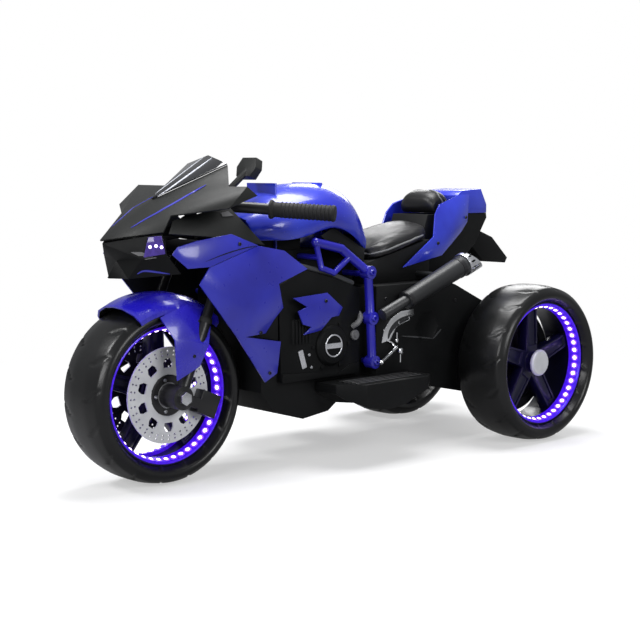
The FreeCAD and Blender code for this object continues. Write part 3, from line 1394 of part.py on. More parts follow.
TRELLIS_SHARES = [(0.784, -0.125, 0.840), (0.832, -0.051, 0.812), (0.896, 0.0275, 0.718),
                  (0.928, 0.031, 0.542),
                  (0.944, 0.035, 0.372)]
STRUT_SHARES = [((0.784, -0.125, 0.840), (0.832, -0.114, 0.744)),
                ((0.864, -0.029, 0.780), (0.856, -0.0775, 0.724)),
                ((0.832, -0.114, 0.744), (0.856, -0.0775, 0.724))]
STUB_SHARES = [("spine_half", (0.808, -0.119, 0.784)), ("spine_half", (0.896, 0.0275, 0.710)),
               ("tub_half", (0.944, 0.035, 0.372))]


def trellis():
    """Bent main tube with struts and round lugs at its joints, held by stubs on the spine and the tub."""
    points = [body_point(shares) for shares in TRELLIS_SHARES]
    pieces = bent_bar("trellis", "trellis_radius", points)
    pieces += [ball(f"trellis_end_{index}", "trellis_radius + weld_proud", points[index]) for index in (0, -1)]
    half = LEFT_NORMAL * size("trellis_radius + lug_proud")
    pieces += [rod(f"lug_{index}", "lug_radius", place - half, place + half)
               for index, place in enumerate(points[2:])]
    for index, (start, end) in enumerate(STRUT_SHARES):
        pieces.append(rod(f"strut_{index}", "strut_radius", body_point(start), body_point(end)))
    pieces += [ball(f"strut_joint_{index}", "strut_radius + weld_proud", body_point(shares))
               for index, shares in enumerate(STRUT_SHARES[2])]
    for index, (seat, shares) in enumerate(STUB_SHARES):
        end = body_point(shares)
        pieces.append(rod(f"stub_{index}", "strut_radius", Vector(size(seat), end.y, end.z), end))
    keep(pair(fuse("trellis_side", pieces), "trellis_pair"), "trellis_frames")


PIPE_SHARES = [(0.045, 0.556), (0.125, 0.602)]
CAN_SHARES = [(0.125, 0.602), (0.328, 0.724)]
HANGER_SHARES = (0.250, 0.690)


def exhaust_tip(end, along):
    """Bright tube round the mouth, cut off aslant, with slots along its upper side."""
    radius, length, width = size("exhaust_tip_radius"), size("exhaust_tip_length"), size("exhaust_slot_width")
    turn = Rotation(Vector(0, 0, 1), along)
    tube = rod("tip_outer", "exhaust_tip_radius", end + along * size("seat_gap"), end + along * length)
    bore = rod("tip_bore", "exhaust_bore_radius", end - along * size("cut_overrun"), end + along * length * 2)
    slope = size("exhaust_tip_slope")
    middle = end + along * (length - radius * math.tan(math.radians(slope)))
    corner = Placement(Vector(-radius, -radius, 0) * 2, Rotation())
    slant = free_block("tip_slant", ["4 * exhaust_tip_radius"] * 3,
                       Placement(middle, turn * Rotation(LEFT_NORMAL, slope)) * corner)
    count = int(size("exhaust_slot_count"))
    corner = Placement(Vector(-width / 2, 0, width), Rotation())
    slots = [free_block(f"tip_slot_{index}", ["exhaust_slot_width", "2 * exhaust_tip_radius",
                                              "exhaust_slot_length"],
                        Placement(end,
                                  turn * Rotation(Vector(0, 0, 1),
                                                  180 * (index - (count - 1) / 2) / count)) * corner)
             for index in range(count)]
    return cut("exhaust_tip", tube, fuse("tip_cuts", [bore, slant, *slots]))


def exhausts():
    """Tapered silencer on its header pipe, hung from the seat base, with a bright tip round its mouth."""
    def place(shares):
        return Vector(size("exhaust_offset"), shares[0] * size("wheel_base"), shares[1] * size("body_height"))

    start, end = (place(shares) for shares in CAN_SHARES)
    pipe = rod("exhaust_pipe", "exhaust_pipe_radius", *(place(shares) for shares in PIPE_SHARES))
    can = bind(doc.addObject("Part::Cone", "exhaust_can"), Radius1="exhaust_neck_radius",
               Radius2="exhaust_can_radius")
    can.Height = start.distanceToPoint(end)
    can.Placement = Placement(start, Rotation(Vector(0, 0, 1), end - start))
    hang = place(HANGER_SHARES)
    hanger = rod("exhaust_hanger", "strut_radius", Vector(size("seat_base_half"), hang.y, hang.z), hang)
    along = end - start
    along.normalize()
    mouth = rod("exhaust_mouth", "exhaust_pipe_radius", end - along * size("exhaust_tip_length"),
                end + along * size("cut_overrun"))
    keep(pair(cut("exhaust", fuse("exhaust_blank", [pipe, can, hanger]), mouth), "exhaust_pair"), "exhausts")
    keep(pair(exhaust_tip(end, along), "tip_pair"), "exhaust_tips")


HEEL_SHARES = [(0.070, 0.440), (0.078, 0.490), (0.100, 0.528), (0.135, 0.556), (0.180, 0.560), (0.182, 0.536),
               (0.145, 0.516), (0.118, 0.492), (0.100, 0.448)]
# Lever bends: shares of its reach from the housing (X), of the wheel base and of the body height.
LEVER_SHARES = [(0.35, 0.115, 0.416), (0.48, 0.094, 0.400), (1.0, 0.045, 0.372)]


def foot_levers():
    """Bright heel plate on the rear housing with a foot lever beside it."""
    body = new_body("heel")
    outline = polygon_sketch(body, "heel_outline", "YZ_Plane", side_outline(HEEL_SHARES), "housing_half")
    pad(body, "heel_plate_pad", outline, "heel_plate")
    points = [Vector(size(f"housing_half + {reach} * lever_reach"), along * size("wheel_base"),
                     up * size("body_height"))
              for reach, along, up in LEVER_SHARES]
    root = Vector(size("housing_half"), points[0].y, points[0].z)
    lever = bent_bar("lever", "lever_radius", [root, *points])
    lever.append(ball("lever_knob", "lever_knob_radius", points[-1]))
    group = doc.addObject("Part::Compound", "heel_group")
    group.Links = [body, fuse("lever_bar", lever)]
    keep(pair(group, "heel_pair"), "foot_levers")


FOOTBOARD_PLAN_SHARES = [(-0.122, None), (TUB_REAR_SHARE, None), (TUB_REAR_SHARE, "step"), (0.169, "step"),
                         (0.169, 0.90), (0.1375, 1.0), (-0.069, 1.0), (-0.122, 0.80)]
FOOTBOARD_BELLY_SHARES = [(-0.135, 0.300), (-0.106, 0.262), (-0.060, 0.226), (0.0, 0.212), (0.060, 0.220),
                          (0.110, 0.252), (0.180, 0.288)]
FOOTBOARD_LOW_SHARE = 0.20
RIB_END_SHARES = (-0.085, 0.150)


def footboard(name):
    """Boat-shaped footboard, hollow below, with a ribbed top and a notch round the rear housing."""
    body = new_body(name)
    inner = {None: "tub_half", "step": "housing_half + seat_gap"}
    outline = [(inner.get(across, f"{across} * footboard_reach"), f"{along} * wheel_base")
               for along, across in FOOTBOARD_PLAN_SHARES]
    starts = [along for along, _ in FOOTBOARD_PLAN_SHARES]
    outer = [across not in inner for _, across in FOOTBOARD_PLAN_SHARES]
    low = f"{FOOTBOARD_LOW_SHARE} * body_height"
    pad(body, name + "_plan", polygon_sketch(body, name + "_plan_outline", "XY_Plane", outline, low),
        f"footboard_top - {low}")
    belly = side_outline(FOOTBOARD_BELLY_SHARES)
    floor = f"{low} - cut_overrun"
    below = polygon_sketch(body, name + "_belly_outline", "YZ_Plane",
                           [(belly[0][0], floor), *belly, (belly[-1][0], floor)],
                           "footboard_reach + cut_overrun")
    pocket(body, name + "_belly", below, "footboard_reach")
    inside = [(f"{across} {'-' if share else '+'} footboard_wall",
               f"{along} {'+' if start < 0 else '-'} footboard_wall")
              for (across, along), share, start in zip(outline, outer, starts)]
    hollow = polygon_sketch(body, name + "_hollow_outline", "XY_Plane", inside, floor)
    pocket(body, name + "_hollow", hollow, f"footboard_top - footboard_wall - ({floor})", reverse=True)
    rib_low, rib_high = (f"{share} * wheel_base" for share in RIB_END_SHARES)
    start = "housing_half + footboard_rib_pitch"
    rib_outline = [(start, rib_low), (f"{start} + footboard_rib_width", rib_low),
                   (f"{start} + footboard_rib_width", rib_high), (start, rib_high)]
    rib = pad(body, name + "_rib", polygon_sketch(body, name + "_rib_outline", "XY_Plane", rib_outline,
                                                  "footboard_top"),
              "footboard_rib")
    ribs = body.newObject("PartDesign::LinearPattern", name + "_ribs")
    ribs.Originals = [rib]
    ribs.Direction = (origin_item(body, "X_Axis"), [""])
    bind(ribs, Length="footboard_rib_pitch * (footboard_rib_count - 1)", Occurrences="footboard_rib_count")
    body.Tip = ribs
    return body


def footboards():
    keep(pair(footboard("footboard"), "footboard_pair"), "footboards")
    floor = "footboard_top + footboard_rib + seat_gap"
    heel = "pedal_length / 2"
    rest = f"{floor} + pedal_barrel_radius"
    body = new_body("pedal")
    outline = [(heel, floor), (heel, f"{floor} + pedal_plate"),
               (f"-{heel}", f"{floor} + pedal_plate + pedal_rise"),
               (f"-{heel}", f"{floor} + pedal_rise")]
    pad(body, "pedal_pad", polygon_sketch(body, "pedal_outline", "YZ_Plane", outline),
        "2 * pedal_half_width", "Symmetric")
    barrel = circle_sketch(body, "pedal_barrel_outline", "YZ_Plane", [(heel, rest, "pedal_barrel_radius")])
    pad(body, "pedal_barrel", barrel, "2 * pedal_half_width", "Symmetric")
    bind(body, Placement__Base__x="-(housing_half + footboard_reach) / 2")
    keep(body, "accelerator_pedal")


# Drive

BATTERY_FRONT_SHARE = -0.23075


def drive():
    axle_end = "track_half + rear_hub_outer"
    keep(cross_cylinder("rear_axle_bar", "rear_axle_radius", f"-({axle_end})", axle_end, "wheel_base / 2",
                        "tyre_radius"),
         "rear_axle")
    outside = "housing_half - chassis_wall"
    inside = f"{outside} - gearbox_width"
    drum = cross_cylinder("gearbox_drum", "gearbox_radius", inside, outside, "wheel_base / 2", "tyre_radius")
    arm = block("gearbox_arm", (inside, "wheel_base / 2 - gearbox_reach", "tyre_radius - motor_radius"),
                (outside, "wheel_base / 2", "tyre_radius + motor_radius"))
    bore = cross_cylinder("gearbox_bore", "rear_axle_radius + running_gap", f"{inside} - cut_overrun",
                          f"{outside} + cut_overrun", "wheel_base / 2", "tyre_radius")
    keep(pair(cut("gearbox", fuse("gearbox_blank", [drum, arm]), bore), "gearbox_pair"), "drive_gearboxes")
    motor = cross_cylinder("motor", "motor_radius", f"{inside} - motor_length", inside,
                           "wheel_base / 2 - gearbox_reach + motor_radius", "tyre_radius")
    keep(pair(motor, "motor_pair"), "drive_motors")
    floor = f"{TUB_BELLY_SHARES[3][1]} * body_height + chassis_wall + seat_gap"
    back = f"{TUB_BELLY_SHARES[3][0]} * wheel_base"
    front = f"{BATTERY_FRONT_SHARE} * wheel_base"
    cell = block("battery_block", ("-battery_width / 2", front, floor),
                 ("battery_width / 2", back, f"{floor} + battery_height"))
    keep(cell, "battery")
    shelf = f"{floor} + battery_height + seat_gap"
    board = block("controller_block", ("-controller_width / 2", f"{back} - controller_length", shelf),
                  ("controller_width / 2", back, f"{shelf} + controller_height"))
    keep(board, "controller")


def build():
    front_wheel()
    for word, side in (("left", 1), ("right", -1)):
        rear_wheel(word, side)
    fork()
    brake_calipers()
    front_fender()
    handlebar()
    instrument_pod()
    chassis()
    rear_housing()
    seat_and_tail_bases()
    tail_pieces()
    nose_pieces()
    side_bodywork()
    fuel_tank()
    seat_cushion()
    backrest_pad()
    engine_covers()
    clutch_trims()
    trellis()
    exhausts()
    foot_levers()
    footboards()
    drive()


def check_and_write():
    """Stop on any failed object or bad solid, then write one file for each sub-part."""
    doc.recompute()
    failed = [item.Label for item in doc.Objects if {"Invalid", "Error"} & set(item.State)]
    if failed:
        raise RuntimeError(f"failed objects: {failed}")
    for item in nodes:
        if item.Shape.isNull() or not item.Shape.isValid() or not item.Shape.Solids:
            raise RuntimeError(f"bad shape: {item.Label}")
    os.makedirs("parts", exist_ok=True)
    for item in nodes:
        item.Shape.exportStep(f"parts/{item.Label}.step")
        print(f"{item.Label}: {len(item.Shape.Solids)} solids, {item.Shape.Volume / 1000:.1f} cm3")


build()
check_and_write()
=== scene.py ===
# %% [markdown]
# A child's electric sports trike, dressed for a studio picture. The solids come packed from CAD, in metres, with
# every piece already in its place and grouped into the bodies that its joints move. Here they get their finishes,
# and the soft and small things that CAD leaves plain: padded seat, tyre tread, lamps, screws and hoses. Loading
# the frame comes first, because everything else is placed by measuring it.

# %% load the frame
import json
import math

import bpy
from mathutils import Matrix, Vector
from mathutils.bvhtree import BVHTree

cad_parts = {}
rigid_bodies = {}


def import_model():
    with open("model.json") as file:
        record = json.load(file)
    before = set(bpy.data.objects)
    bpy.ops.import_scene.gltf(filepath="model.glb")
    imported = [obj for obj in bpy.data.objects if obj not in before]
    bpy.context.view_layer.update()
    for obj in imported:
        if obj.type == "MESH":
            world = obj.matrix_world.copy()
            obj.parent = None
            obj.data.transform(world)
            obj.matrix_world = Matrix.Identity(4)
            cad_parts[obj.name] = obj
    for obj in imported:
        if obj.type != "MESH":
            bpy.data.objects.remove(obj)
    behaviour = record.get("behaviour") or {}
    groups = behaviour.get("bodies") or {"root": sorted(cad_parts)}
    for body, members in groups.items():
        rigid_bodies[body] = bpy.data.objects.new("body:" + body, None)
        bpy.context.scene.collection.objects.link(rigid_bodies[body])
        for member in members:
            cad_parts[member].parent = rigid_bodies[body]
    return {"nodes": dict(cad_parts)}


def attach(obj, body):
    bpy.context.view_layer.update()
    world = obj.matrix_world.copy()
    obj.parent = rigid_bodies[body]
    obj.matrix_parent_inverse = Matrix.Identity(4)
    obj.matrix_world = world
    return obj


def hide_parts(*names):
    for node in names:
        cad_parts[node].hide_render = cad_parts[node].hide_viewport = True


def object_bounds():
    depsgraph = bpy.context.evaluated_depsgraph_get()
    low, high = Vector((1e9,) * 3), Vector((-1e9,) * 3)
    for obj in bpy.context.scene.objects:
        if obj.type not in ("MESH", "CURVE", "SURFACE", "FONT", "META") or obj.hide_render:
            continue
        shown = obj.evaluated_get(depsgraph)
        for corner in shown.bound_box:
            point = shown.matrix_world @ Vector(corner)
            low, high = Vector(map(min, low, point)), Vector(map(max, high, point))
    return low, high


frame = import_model()
cad_low, cad_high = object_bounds()
node_of = frame["nodes"]
stage_items = bpy.context.scene.collection.objects
print("nodes:", len(node_of), "box:", [round(v, 3) for v in (*cad_low, *cad_high)])

# %% [markdown]
# The camera stands where the photographer stood. It could be set by eye, but the three wheels say more: their
# round rims and known track give the lens's distance and height. A long lens keeps the front wheel from
# swelling. Nothing here changes with the size of the picture, so the same lens serves every render.

# %% camera
eye = Vector((1.97658, -1.79206, 0.55959))
looked_at = Vector((0.0, -0.00044, 0.25941))
sensor_width, focal_length = 36.0, 76.61


def turn_to(place, aim):
    """Rotation that points a camera or a lamp from a place at an aim."""
    return (Vector(aim) - Vector(place)).to_track_quat("-Z", "Y").to_euler()


camera_data = bpy.data.cameras.new("photo_camera")
camera_data.sensor_width, camera_data.lens = sensor_width, focal_length
camera = bpy.data.objects.new("photo_camera", camera_data)
camera.location, camera.rotation_euler = eye, turn_to(eye, looked_at)
stage_items.link(camera)
bpy.context.scene.camera = camera
bpy.context.scene.view_settings.view_transform = "Standard"
print("camera distance:", round((eye - looked_at).length, 3), "m")

# %% [markdown]
# The room is white where the lens looks at it and dim everywhere else, so the picture has a clean background
# while black plastic keeps its depth: a dull black shows every bright wall around it. A plain white world would
# be simpler, but it greys the mouldings. A Light Path node tells the lens's own rays, and those that pass through
# the smoked screen, from all others. Reflections get a share of the white, enough for the bright metal to show
# the room.

# %% world
white, dim_blue = (1, 1, 1, 1), (0.86, 0.90, 1.0, 1)
white_strength, dim_strength = 1.0, 0.15
mirror_share = 0.25


def link_nodes(tree, *pairs):
    """Join node sockets, given as pairs of an output and an input."""
    for start, end in pairs:
        tree.links.new(start, end)


def lens_share(tree):
    """1 for rays from the lens or through clear plastic, a share for reflections and 0 for all others."""
    path = tree.nodes.new("ShaderNodeLightPath")
    direct, mirror, seen = (tree.nodes.new("ShaderNodeMath") for _ in range(3))
    direct.operation = seen.operation = "MAXIMUM"
    mirror.operation = "MULTIPLY"
    mirror.inputs[1].default_value = mirror_share
    link_nodes(tree, (path.outputs["Is Camera Ray"], direct.inputs[0]),
               (path.outputs["Is Transmission Ray"], direct.inputs[1]),
               (path.outputs["Is Glossy Ray"], mirror.inputs[0]),
               (direct.outputs[0], seen.inputs[0]), (mirror.outputs[0], seen.inputs[1]))
    return seen.outputs[0]


studio = bpy.data.worlds.new("studio")
bpy.context.scene.world = studio
studio.use_nodes = True
sky = studio.node_tree
sky.nodes.clear()
choose = sky.nodes.new("ShaderNodeMixShader")
sky.links.new(lens_share(sky), choose.inputs[0])
for socket, colour, strength in ((1, dim_blue, dim_strength), (2, white, white_strength)):
    wall = sky.nodes.new("ShaderNodeBackground")
    wall.inputs["Color"].default_value, wall.inputs["Strength"].default_value = colour, strength
    sky.links.new(wall.outputs[0], choose.inputs[socket])
sky.links.new(choose.outputs[0], sky.nodes.new("ShaderNodeOutputWorld").inputs[0])
print("world nodes:", len(sky.nodes))

# %% [markdown]
# The floor is one flat sheet, a hair below the wheels so that the two never lie in the same plane. A curved
# backdrop is the usual studio way, but its bend shows in low views.

# %% floor
floor_half, floor_drop = 6.0, 0.0005
floor_corners = [(x * floor_half, y * floor_half, 0) for x, y in ((-1, -1), (1, -1), (1, 1), (-1, 1))]
floor_mesh = bpy.data.meshes.new("studio_floor")
floor_mesh.from_pydata(floor_corners, [], [(0, 1, 2, 3)])
floor = bpy.data.objects.new("studio_floor", floor_mesh)
floor.location.z = cad_low.z - floor_drop
stage_items.link(floor)
print("floor at", round(floor.location.z, 4))

# %% [markdown]
# The sheet is of pale paper. Near the wheels it shows their shadow; further out it fades to the white of the room,
# so no edge or horizon is left. The fade is a round gradient in the floor's own coordinates, which mixes the lit
# paper with a plain white glow for the lens, and by the same share for reflections. All other rays meet a dull
# grey sheet, or the paper's light would wash out the dark mouldings from below.

# %% paper
fade_range = {"From Min": 0.55, "From Max": 1.5, "To Min": 0.45, "To Max": 1.0}
paper_look = {"Base Color": (0.95, 0.95, 0.95, 1), "Roughness": 0.9, "Specular IOR Level": 0.1}
dull_grey = (0.22, 0.22, 0.23, 1)


def set_sockets(node, values):
    """Set the values of a node's inputs, given by name."""
    for socket, value in values.items():
        node.inputs[socket].default_value = value


paper = bpy.data.materials.new("pale_paper")
paper.use_nodes = True
leaf = paper.node_tree
paper_shader = leaf.nodes["Principled BSDF"]
set_sockets(paper_shader, paper_look)
paper_glow = leaf.nodes.new("ShaderNodeEmission")
where = leaf.nodes.new("ShaderNodeTexCoord")
far = leaf.nodes.new("ShaderNodeVectorMath")
far.operation = "LENGTH"
fade = leaf.nodes.new("ShaderNodeMapRange")
set_sockets(fade, fade_range)
dim_paper = leaf.nodes.new("ShaderNodeBsdfDiffuse")
dim_paper.inputs["Color"].default_value = dull_grey
shown, for_lens = (leaf.nodes.new("ShaderNodeMixShader") for _ in range(2))
link_nodes(leaf, (where.outputs["Object"], far.inputs[0]), (far.outputs["Value"], fade.inputs["Value"]),
           (fade.outputs["Result"], shown.inputs[0]), (paper_shader.outputs[0], shown.inputs[1]),
           (paper_glow.outputs[0], shown.inputs[2]), (lens_share(leaf), for_lens.inputs[0]),
           (dim_paper.outputs[0], for_lens.inputs[1]), (shown.outputs[0], for_lens.inputs[2]),
           (for_lens.outputs[0], leaf.nodes["Material Output"].inputs[0]))
floor_mesh.materials.append(paper)
print("paper nodes:", len(leaf.nodes))

# %% [markdown]
# Five large soft lamps do the lighting; small ones would leave hard spots on the gloss. The one overhead draws the
# long white sheen on tank and seat; one before the nose and one beside the left flank open up the panels that face
# the lens; one behind rims the tail. The last one, high over the front, is placed where its reflection falls on
# the shoulder of the front tyre.

# %% lamps
machine_middle, above_front_axle = (0, 0, 0.3), (0, -0.4, 0.2)


def soft_lamp(name, place, aim, width, height, power):
    """Rectangular soft lamp at a place, aimed at a point."""
    data = bpy.data.lights.new(name, "AREA")
    data.shape = "RECTANGLE"
    data.size, data.size_y, data.energy = width, height, power
    lamp = bpy.data.objects.new(name, data)
    lamp.location, lamp.rotation_euler = place, turn_to(place, aim)
    stage_items.link(lamp)
    print(name, power, "W")


soft_lamp("overhead_lamp", (-0.1, 0.25, 2.3), machine_middle, width=1.5, height=1.1, power=62)
soft_lamp("front_lamp", (0.9, -2.8, 1.3), machine_middle, width=1.2, height=0.9, power=30)
soft_lamp("side_lamp", (2.8, -0.2, 1.5), machine_middle, width=1.3, height=1.0, power=34)
soft_lamp("back_lamp", (-1.6, 2.2, 1.6), machine_middle, width=1.4, height=0.8, power=26)
soft_lamp("sheen_lamp", (-0.8, -2.0, 2.2), above_front_axle, width=0.7, height=0.5, power=30)

# %% [markdown]
# A finish is a small node tree: a Principled shader whose colour, roughness and normal are stirred by noise, as
# real mouldings are never quite even. Painted pictures could do the same, but noise needs no unwrapping and stays
# sharp when the lens comes close. Values that are even all over are set on the shader's own sockets; only what
# varies is linked. Object coordinates are in metres, so a noise scale of 1000 makes grains a millimetre across.

# %% finish helpers
coat_roughness = 0.05
finishes = []


def new_finish(name, roughness=0.5, metallic=0.0, specular=0.5, coat=0.0):
    """Material with a Principled shader and object coordinates, ready for its textures."""
    finish = bpy.data.materials.new(name)
    finish.use_nodes = True
    tree = finish.node_tree
    shader = tree.nodes["Principled BSDF"]
    set_sockets(shader, {"Roughness": roughness, "Metallic": metallic, "Specular IOR Level": specular,
                         "Coat Weight": coat, "Coat Roughness": coat_roughness})
    tree.nodes.new("ShaderNodeTexCoord").name = "where"
    finishes.append(name)
    return finish, tree, shader


def noise(tree, scale, detail=4.0, stretch=(1, 1, 1)):
    """Noise texture in object space; a stretch draws its grain out along an axis."""
    spread = tree.nodes.new("ShaderNodeMapping")
    spread.inputs["Scale"].default_value = stretch
    texture = tree.nodes.new("ShaderNodeTexNoise")
    set_sockets(texture, {"Scale": scale, "Detail": detail})
    link_nodes(tree, (tree.nodes["where"].outputs["Object"], spread.inputs["Vector"]),
               (spread.outputs["Vector"], texture.inputs["Vector"]))
    return texture.outputs["Fac"]


def shades(tree, factor, dark, light, low=0.35, high=0.65):
    """Colour that wanders between two shades."""
    ramp = tree.nodes.new("ShaderNodeValToRGB")
    for element, position, colour in zip(ramp.color_ramp.elements, (low, high), (dark, light)):
        element.position, element.color = position, (*colour, 1)
    tree.links.new(factor, ramp.inputs["Fac"])
    return ramp.outputs["Color"]


print("coat roughness of every finish:", coat_roughness)

# %% [markdown]
# Three more effects make a surface look handled: paler edges where hands and shoes rub, a gloss that wanders, and
# a fine relief. The edges could be painted by hand, but the Geometry node's Pointiness finds them on every piece
# at once. A moulded finish puts the three together, and serves for plastic, paint and rubber alike.

# %% wear, gloss and grain
rubbed_from, rubbed_to = 0.52, 0.62
drift_scale, gloss_scale, grain_depth = 9, 60, 0.0004
bare_share, bare_lift = 0.5, 0.12


def worn_edges(tree, colour, bare, amount):
    """Paler colour along convex edges, where hands and shoes rub."""
    geometry = tree.nodes.new("ShaderNodeNewGeometry")
    rubbed = tree.nodes.new("ShaderNodeMapRange")
    set_sockets(rubbed, {"From Min": rubbed_from, "From Max": rubbed_to, "To Min": 0.0, "To Max": amount})
    blend = tree.nodes.new("ShaderNodeMix")
    blend.data_type = "RGBA"
    blend.inputs["B"].default_value = (*bare, 1)
    link_nodes(tree, (geometry.outputs["Pointiness"], rubbed.inputs["Value"]),
               (rubbed.outputs["Result"], blend.inputs["Factor"]), (colour, blend.inputs["A"]))
    return blend.outputs["Result"]


def stir_roughness(tree, shader, factor, low, high):
    """Roughness that wanders between two values."""
    spread = tree.nodes.new("ShaderNodeMapRange")
    set_sockets(spread, {"To Min": low, "To Max": high})
    link_nodes(tree, (factor, spread.inputs["Value"]), (spread.outputs["Result"], shader.inputs["Roughness"]))


def emboss(tree, shader, factor, strength, depth):
    """Fine relief from a texture."""
    bump = tree.nodes.new("ShaderNodeBump")
    set_sockets(bump, {"Strength": strength, "Distance": depth})
    link_nodes(tree, (factor, bump.inputs["Height"]), (bump.outputs["Normal"], shader.inputs["Normal"]))


def moulded(name, dark, light, roughness, grain, relief, specular=0.5, coat=0.0, wear=0.15):
    """Moulded plastic or paint: broad drifts of shade, pale edges, fine grain and a slightly uneven gloss."""
    finish, tree, shader = new_finish(name, specular=specular, coat=coat)
    colour = shades(tree, noise(tree, drift_scale, detail=3), dark, light)
    bare = [bare_share * c + bare_lift for c in light]
    tree.links.new(worn_edges(tree, colour, bare, wear), shader.inputs["Base Color"])
    stir_roughness(tree, shader, noise(tree, gloss_scale), *roughness)
    emboss(tree, shader, noise(tree, grain, detail=2), relief, grain_depth)
    return finish


print("edges are rubbed above a pointiness of", rubbed_from)

# %% [markdown]
# The machine is mostly plastic: glossy blue panels, a dull black belly with a fine leathery grain, a charcoal nose,
# and rubber on tyres and grips. One black could serve for all, but the real ones differ in gloss, and that is what
# tells the pieces apart. Blue panels are wet-looking, so they get a clear coat over a mid-rough base. The fender's
# blue is a shade more violet than the rest: painted light, for the violet glow of the wheel's lamps close by. Tank
# and tail take a lighter, more cyan blue: a painted reflection of the bright room on their tops.

# %% plastic and rubber finishes
blue_gloss = moulded("blue_gloss", (0.012, 0.013, 0.34), (0.020, 0.025, 0.48), roughness=(0.24, 0.34),
                     grain=40, relief=0.03, coat=0.35)
frame_blue = moulded("frame_blue", (0.010, 0.008, 0.34), (0.016, 0.014, 0.46), roughness=(0.25, 0.38),
                     grain=60, relief=0.04, coat=0.3)
# The fender's more violet blue is painted light: the glow of the wheel's lamps close by.
fender_blue_painted_lamplight = moulded("fender_blue_painted_lamplight", (0.014, 0.010, 0.46), (0.024, 0.014, 0.66), roughness=(0.22, 0.32),
                      grain=40, relief=0.03, coat=0.4)
# Tank and tail: a lighter, more cyan copy of the blue, a painted reflection of the bright room.
tank_blue_painted_reflection = moulded("tank_blue_painted_reflection", (0.015, 0.024, 0.46), (0.026, 0.052, 0.66), roughness=(0.22, 0.30),
                    grain=40, relief=0.03, coat=0.45)
black_grain = moulded("black_grain", (0.003, 0.0033, 0.0036), (0.0060, 0.0064, 0.0068), roughness=(0.44, 0.58),
                      grain=900, relief=0.25, specular=0.13, wear=0.05)
charcoal = moulded("charcoal", (0.008, 0.0088, 0.0085), (0.014, 0.0150, 0.0145), roughness=(0.44, 0.58),
                   grain=900, relief=0.25, specular=0.26, wear=0.06)
black_gloss = moulded("black_gloss", (0.010, 0.011, 0.013), (0.017, 0.019, 0.022), roughness=(0.26, 0.36),
                      grain=300, relief=0.05, coat=0.1, wear=0.05)
grey_plastic = moulded("grey_plastic", (0.10, 0.10, 0.105), (0.15, 0.15, 0.155), roughness=(0.40, 0.55),
                       grain=900, relief=0.2)
slate_plastic = moulded("slate_plastic", (0.030, 0.032, 0.034), (0.046, 0.048, 0.052), roughness=(0.40, 0.55),
                        grain=800, relief=0.2, specular=0.4)
satin_grey = moulded("satin_grey", (0.013, 0.014, 0.015), (0.022, 0.023, 0.025), roughness=(0.34, 0.46),
                     grain=600, relief=0.15, wear=0.1)
red_plastic = moulded("red_plastic", (0.50, 0.012, 0.014), (0.70, 0.022, 0.024), roughness=(0.22, 0.32),
                      grain=500, relief=0.05, coat=0.5)
rim_dark = moulded("rim_dark", (0.004, 0.004, 0.016), (0.007, 0.006, 0.032), roughness=(0.26, 0.38),
                   grain=300, relief=0.05, specular=0.25, coat=0.1, wear=0.06)
tyre_black = moulded("tyre_black", (0.0032, 0.0034, 0.0036), (0.0066, 0.0068, 0.0072), roughness=(0.25, 0.36),
                     grain=700, relief=0.20, specular=0.38, wear=0.04)
grip_rubber = moulded("grip_rubber", (0.006, 0.006, 0.0065), (0.011, 0.011, 0.012), roughness=(0.55, 0.72),
                      grain=1200, relief=0.35, specular=0.3, wear=0.04)
fork_black = moulded("fork_black", (0.006, 0.006, 0.007), (0.011, 0.011, 0.013), roughness=(0.28, 0.42),
                     grain=600, relief=0.10, specular=0.4, wear=0.08)
print("plastic finishes:", finishes)

# %% [markdown]
# Bright parts are of three kinds: metal with fine scratches, drawn out along one axis as a polishing wheel leaves
# them; lamp plastic that glows; and clear plastic with a tint. A plain metal without scratches would mirror the
# room like glass, which only the best chrome does. Each kind gets a maker of its own.

# %% makers of bright finishes
cast_scale, scratch_scale, scratch_depth = 30, 300, 0.0002
glow_scale, tint_scale, dull_share = 160, 12, 0.7
clear_ior = 1.45


def metal(name, dark, light, roughness, stretch, scratch, metallic=1.0):
    """Metal with fine scratches drawn out along one axis; sprayed metal is less metallic."""
    finish, tree, shader = new_finish(name, metallic=metallic)
    tree.links.new(shades(tree, noise(tree, cast_scale, detail=3), dark, light), shader.inputs["Base Color"])
    lines = noise(tree, scratch_scale, detail=3, stretch=stretch)
    stir_roughness(tree, shader, lines, *roughness)
    emboss(tree, shader, lines, scratch, scratch_depth)
    return finish


def lit(name, colour, strength, roughness=0.3):
    """Plastic that glows a little unevenly: lamp plastic, and the painted reflections on the screen."""
    finish, tree, shader = new_finish(name, roughness)
    glow = shades(tree, noise(tree, glow_scale, detail=2), [c * dull_share for c in colour], colour)
    link_nodes(tree, (glow, shader.inputs["Base Color"]), (glow, shader.inputs["Emission Color"]))
    shader.inputs["Emission Strength"].default_value = strength
    return finish


def tinted(name, tint, through):
    """Tinted clear plastic."""
    finish, tree, shader = new_finish(name, roughness=0.06, specular=0.6, coat=0.3)
    colour = shades(tree, noise(tree, tint_scale, detail=2), [t * dull_share for t in tint], tint)
    tree.links.new(colour, shader.inputs["Base Color"])
    set_sockets(shader, {"Transmission Weight": through, "IOR": clear_ior})
    return finish


print("scratch scale:", scratch_scale)

# %% [markdown]
# Brake discs and hub caps are sprayed silver, the levers are chromed, and trim and axles lie between the two. Real
# lamps in the light strips would be slow to render, so their plastic glows instead: weakly in the strips and
# strongly in the small lamps. So the strips stay violet while the lamps burn out to near white, as they do in a
# photograph.

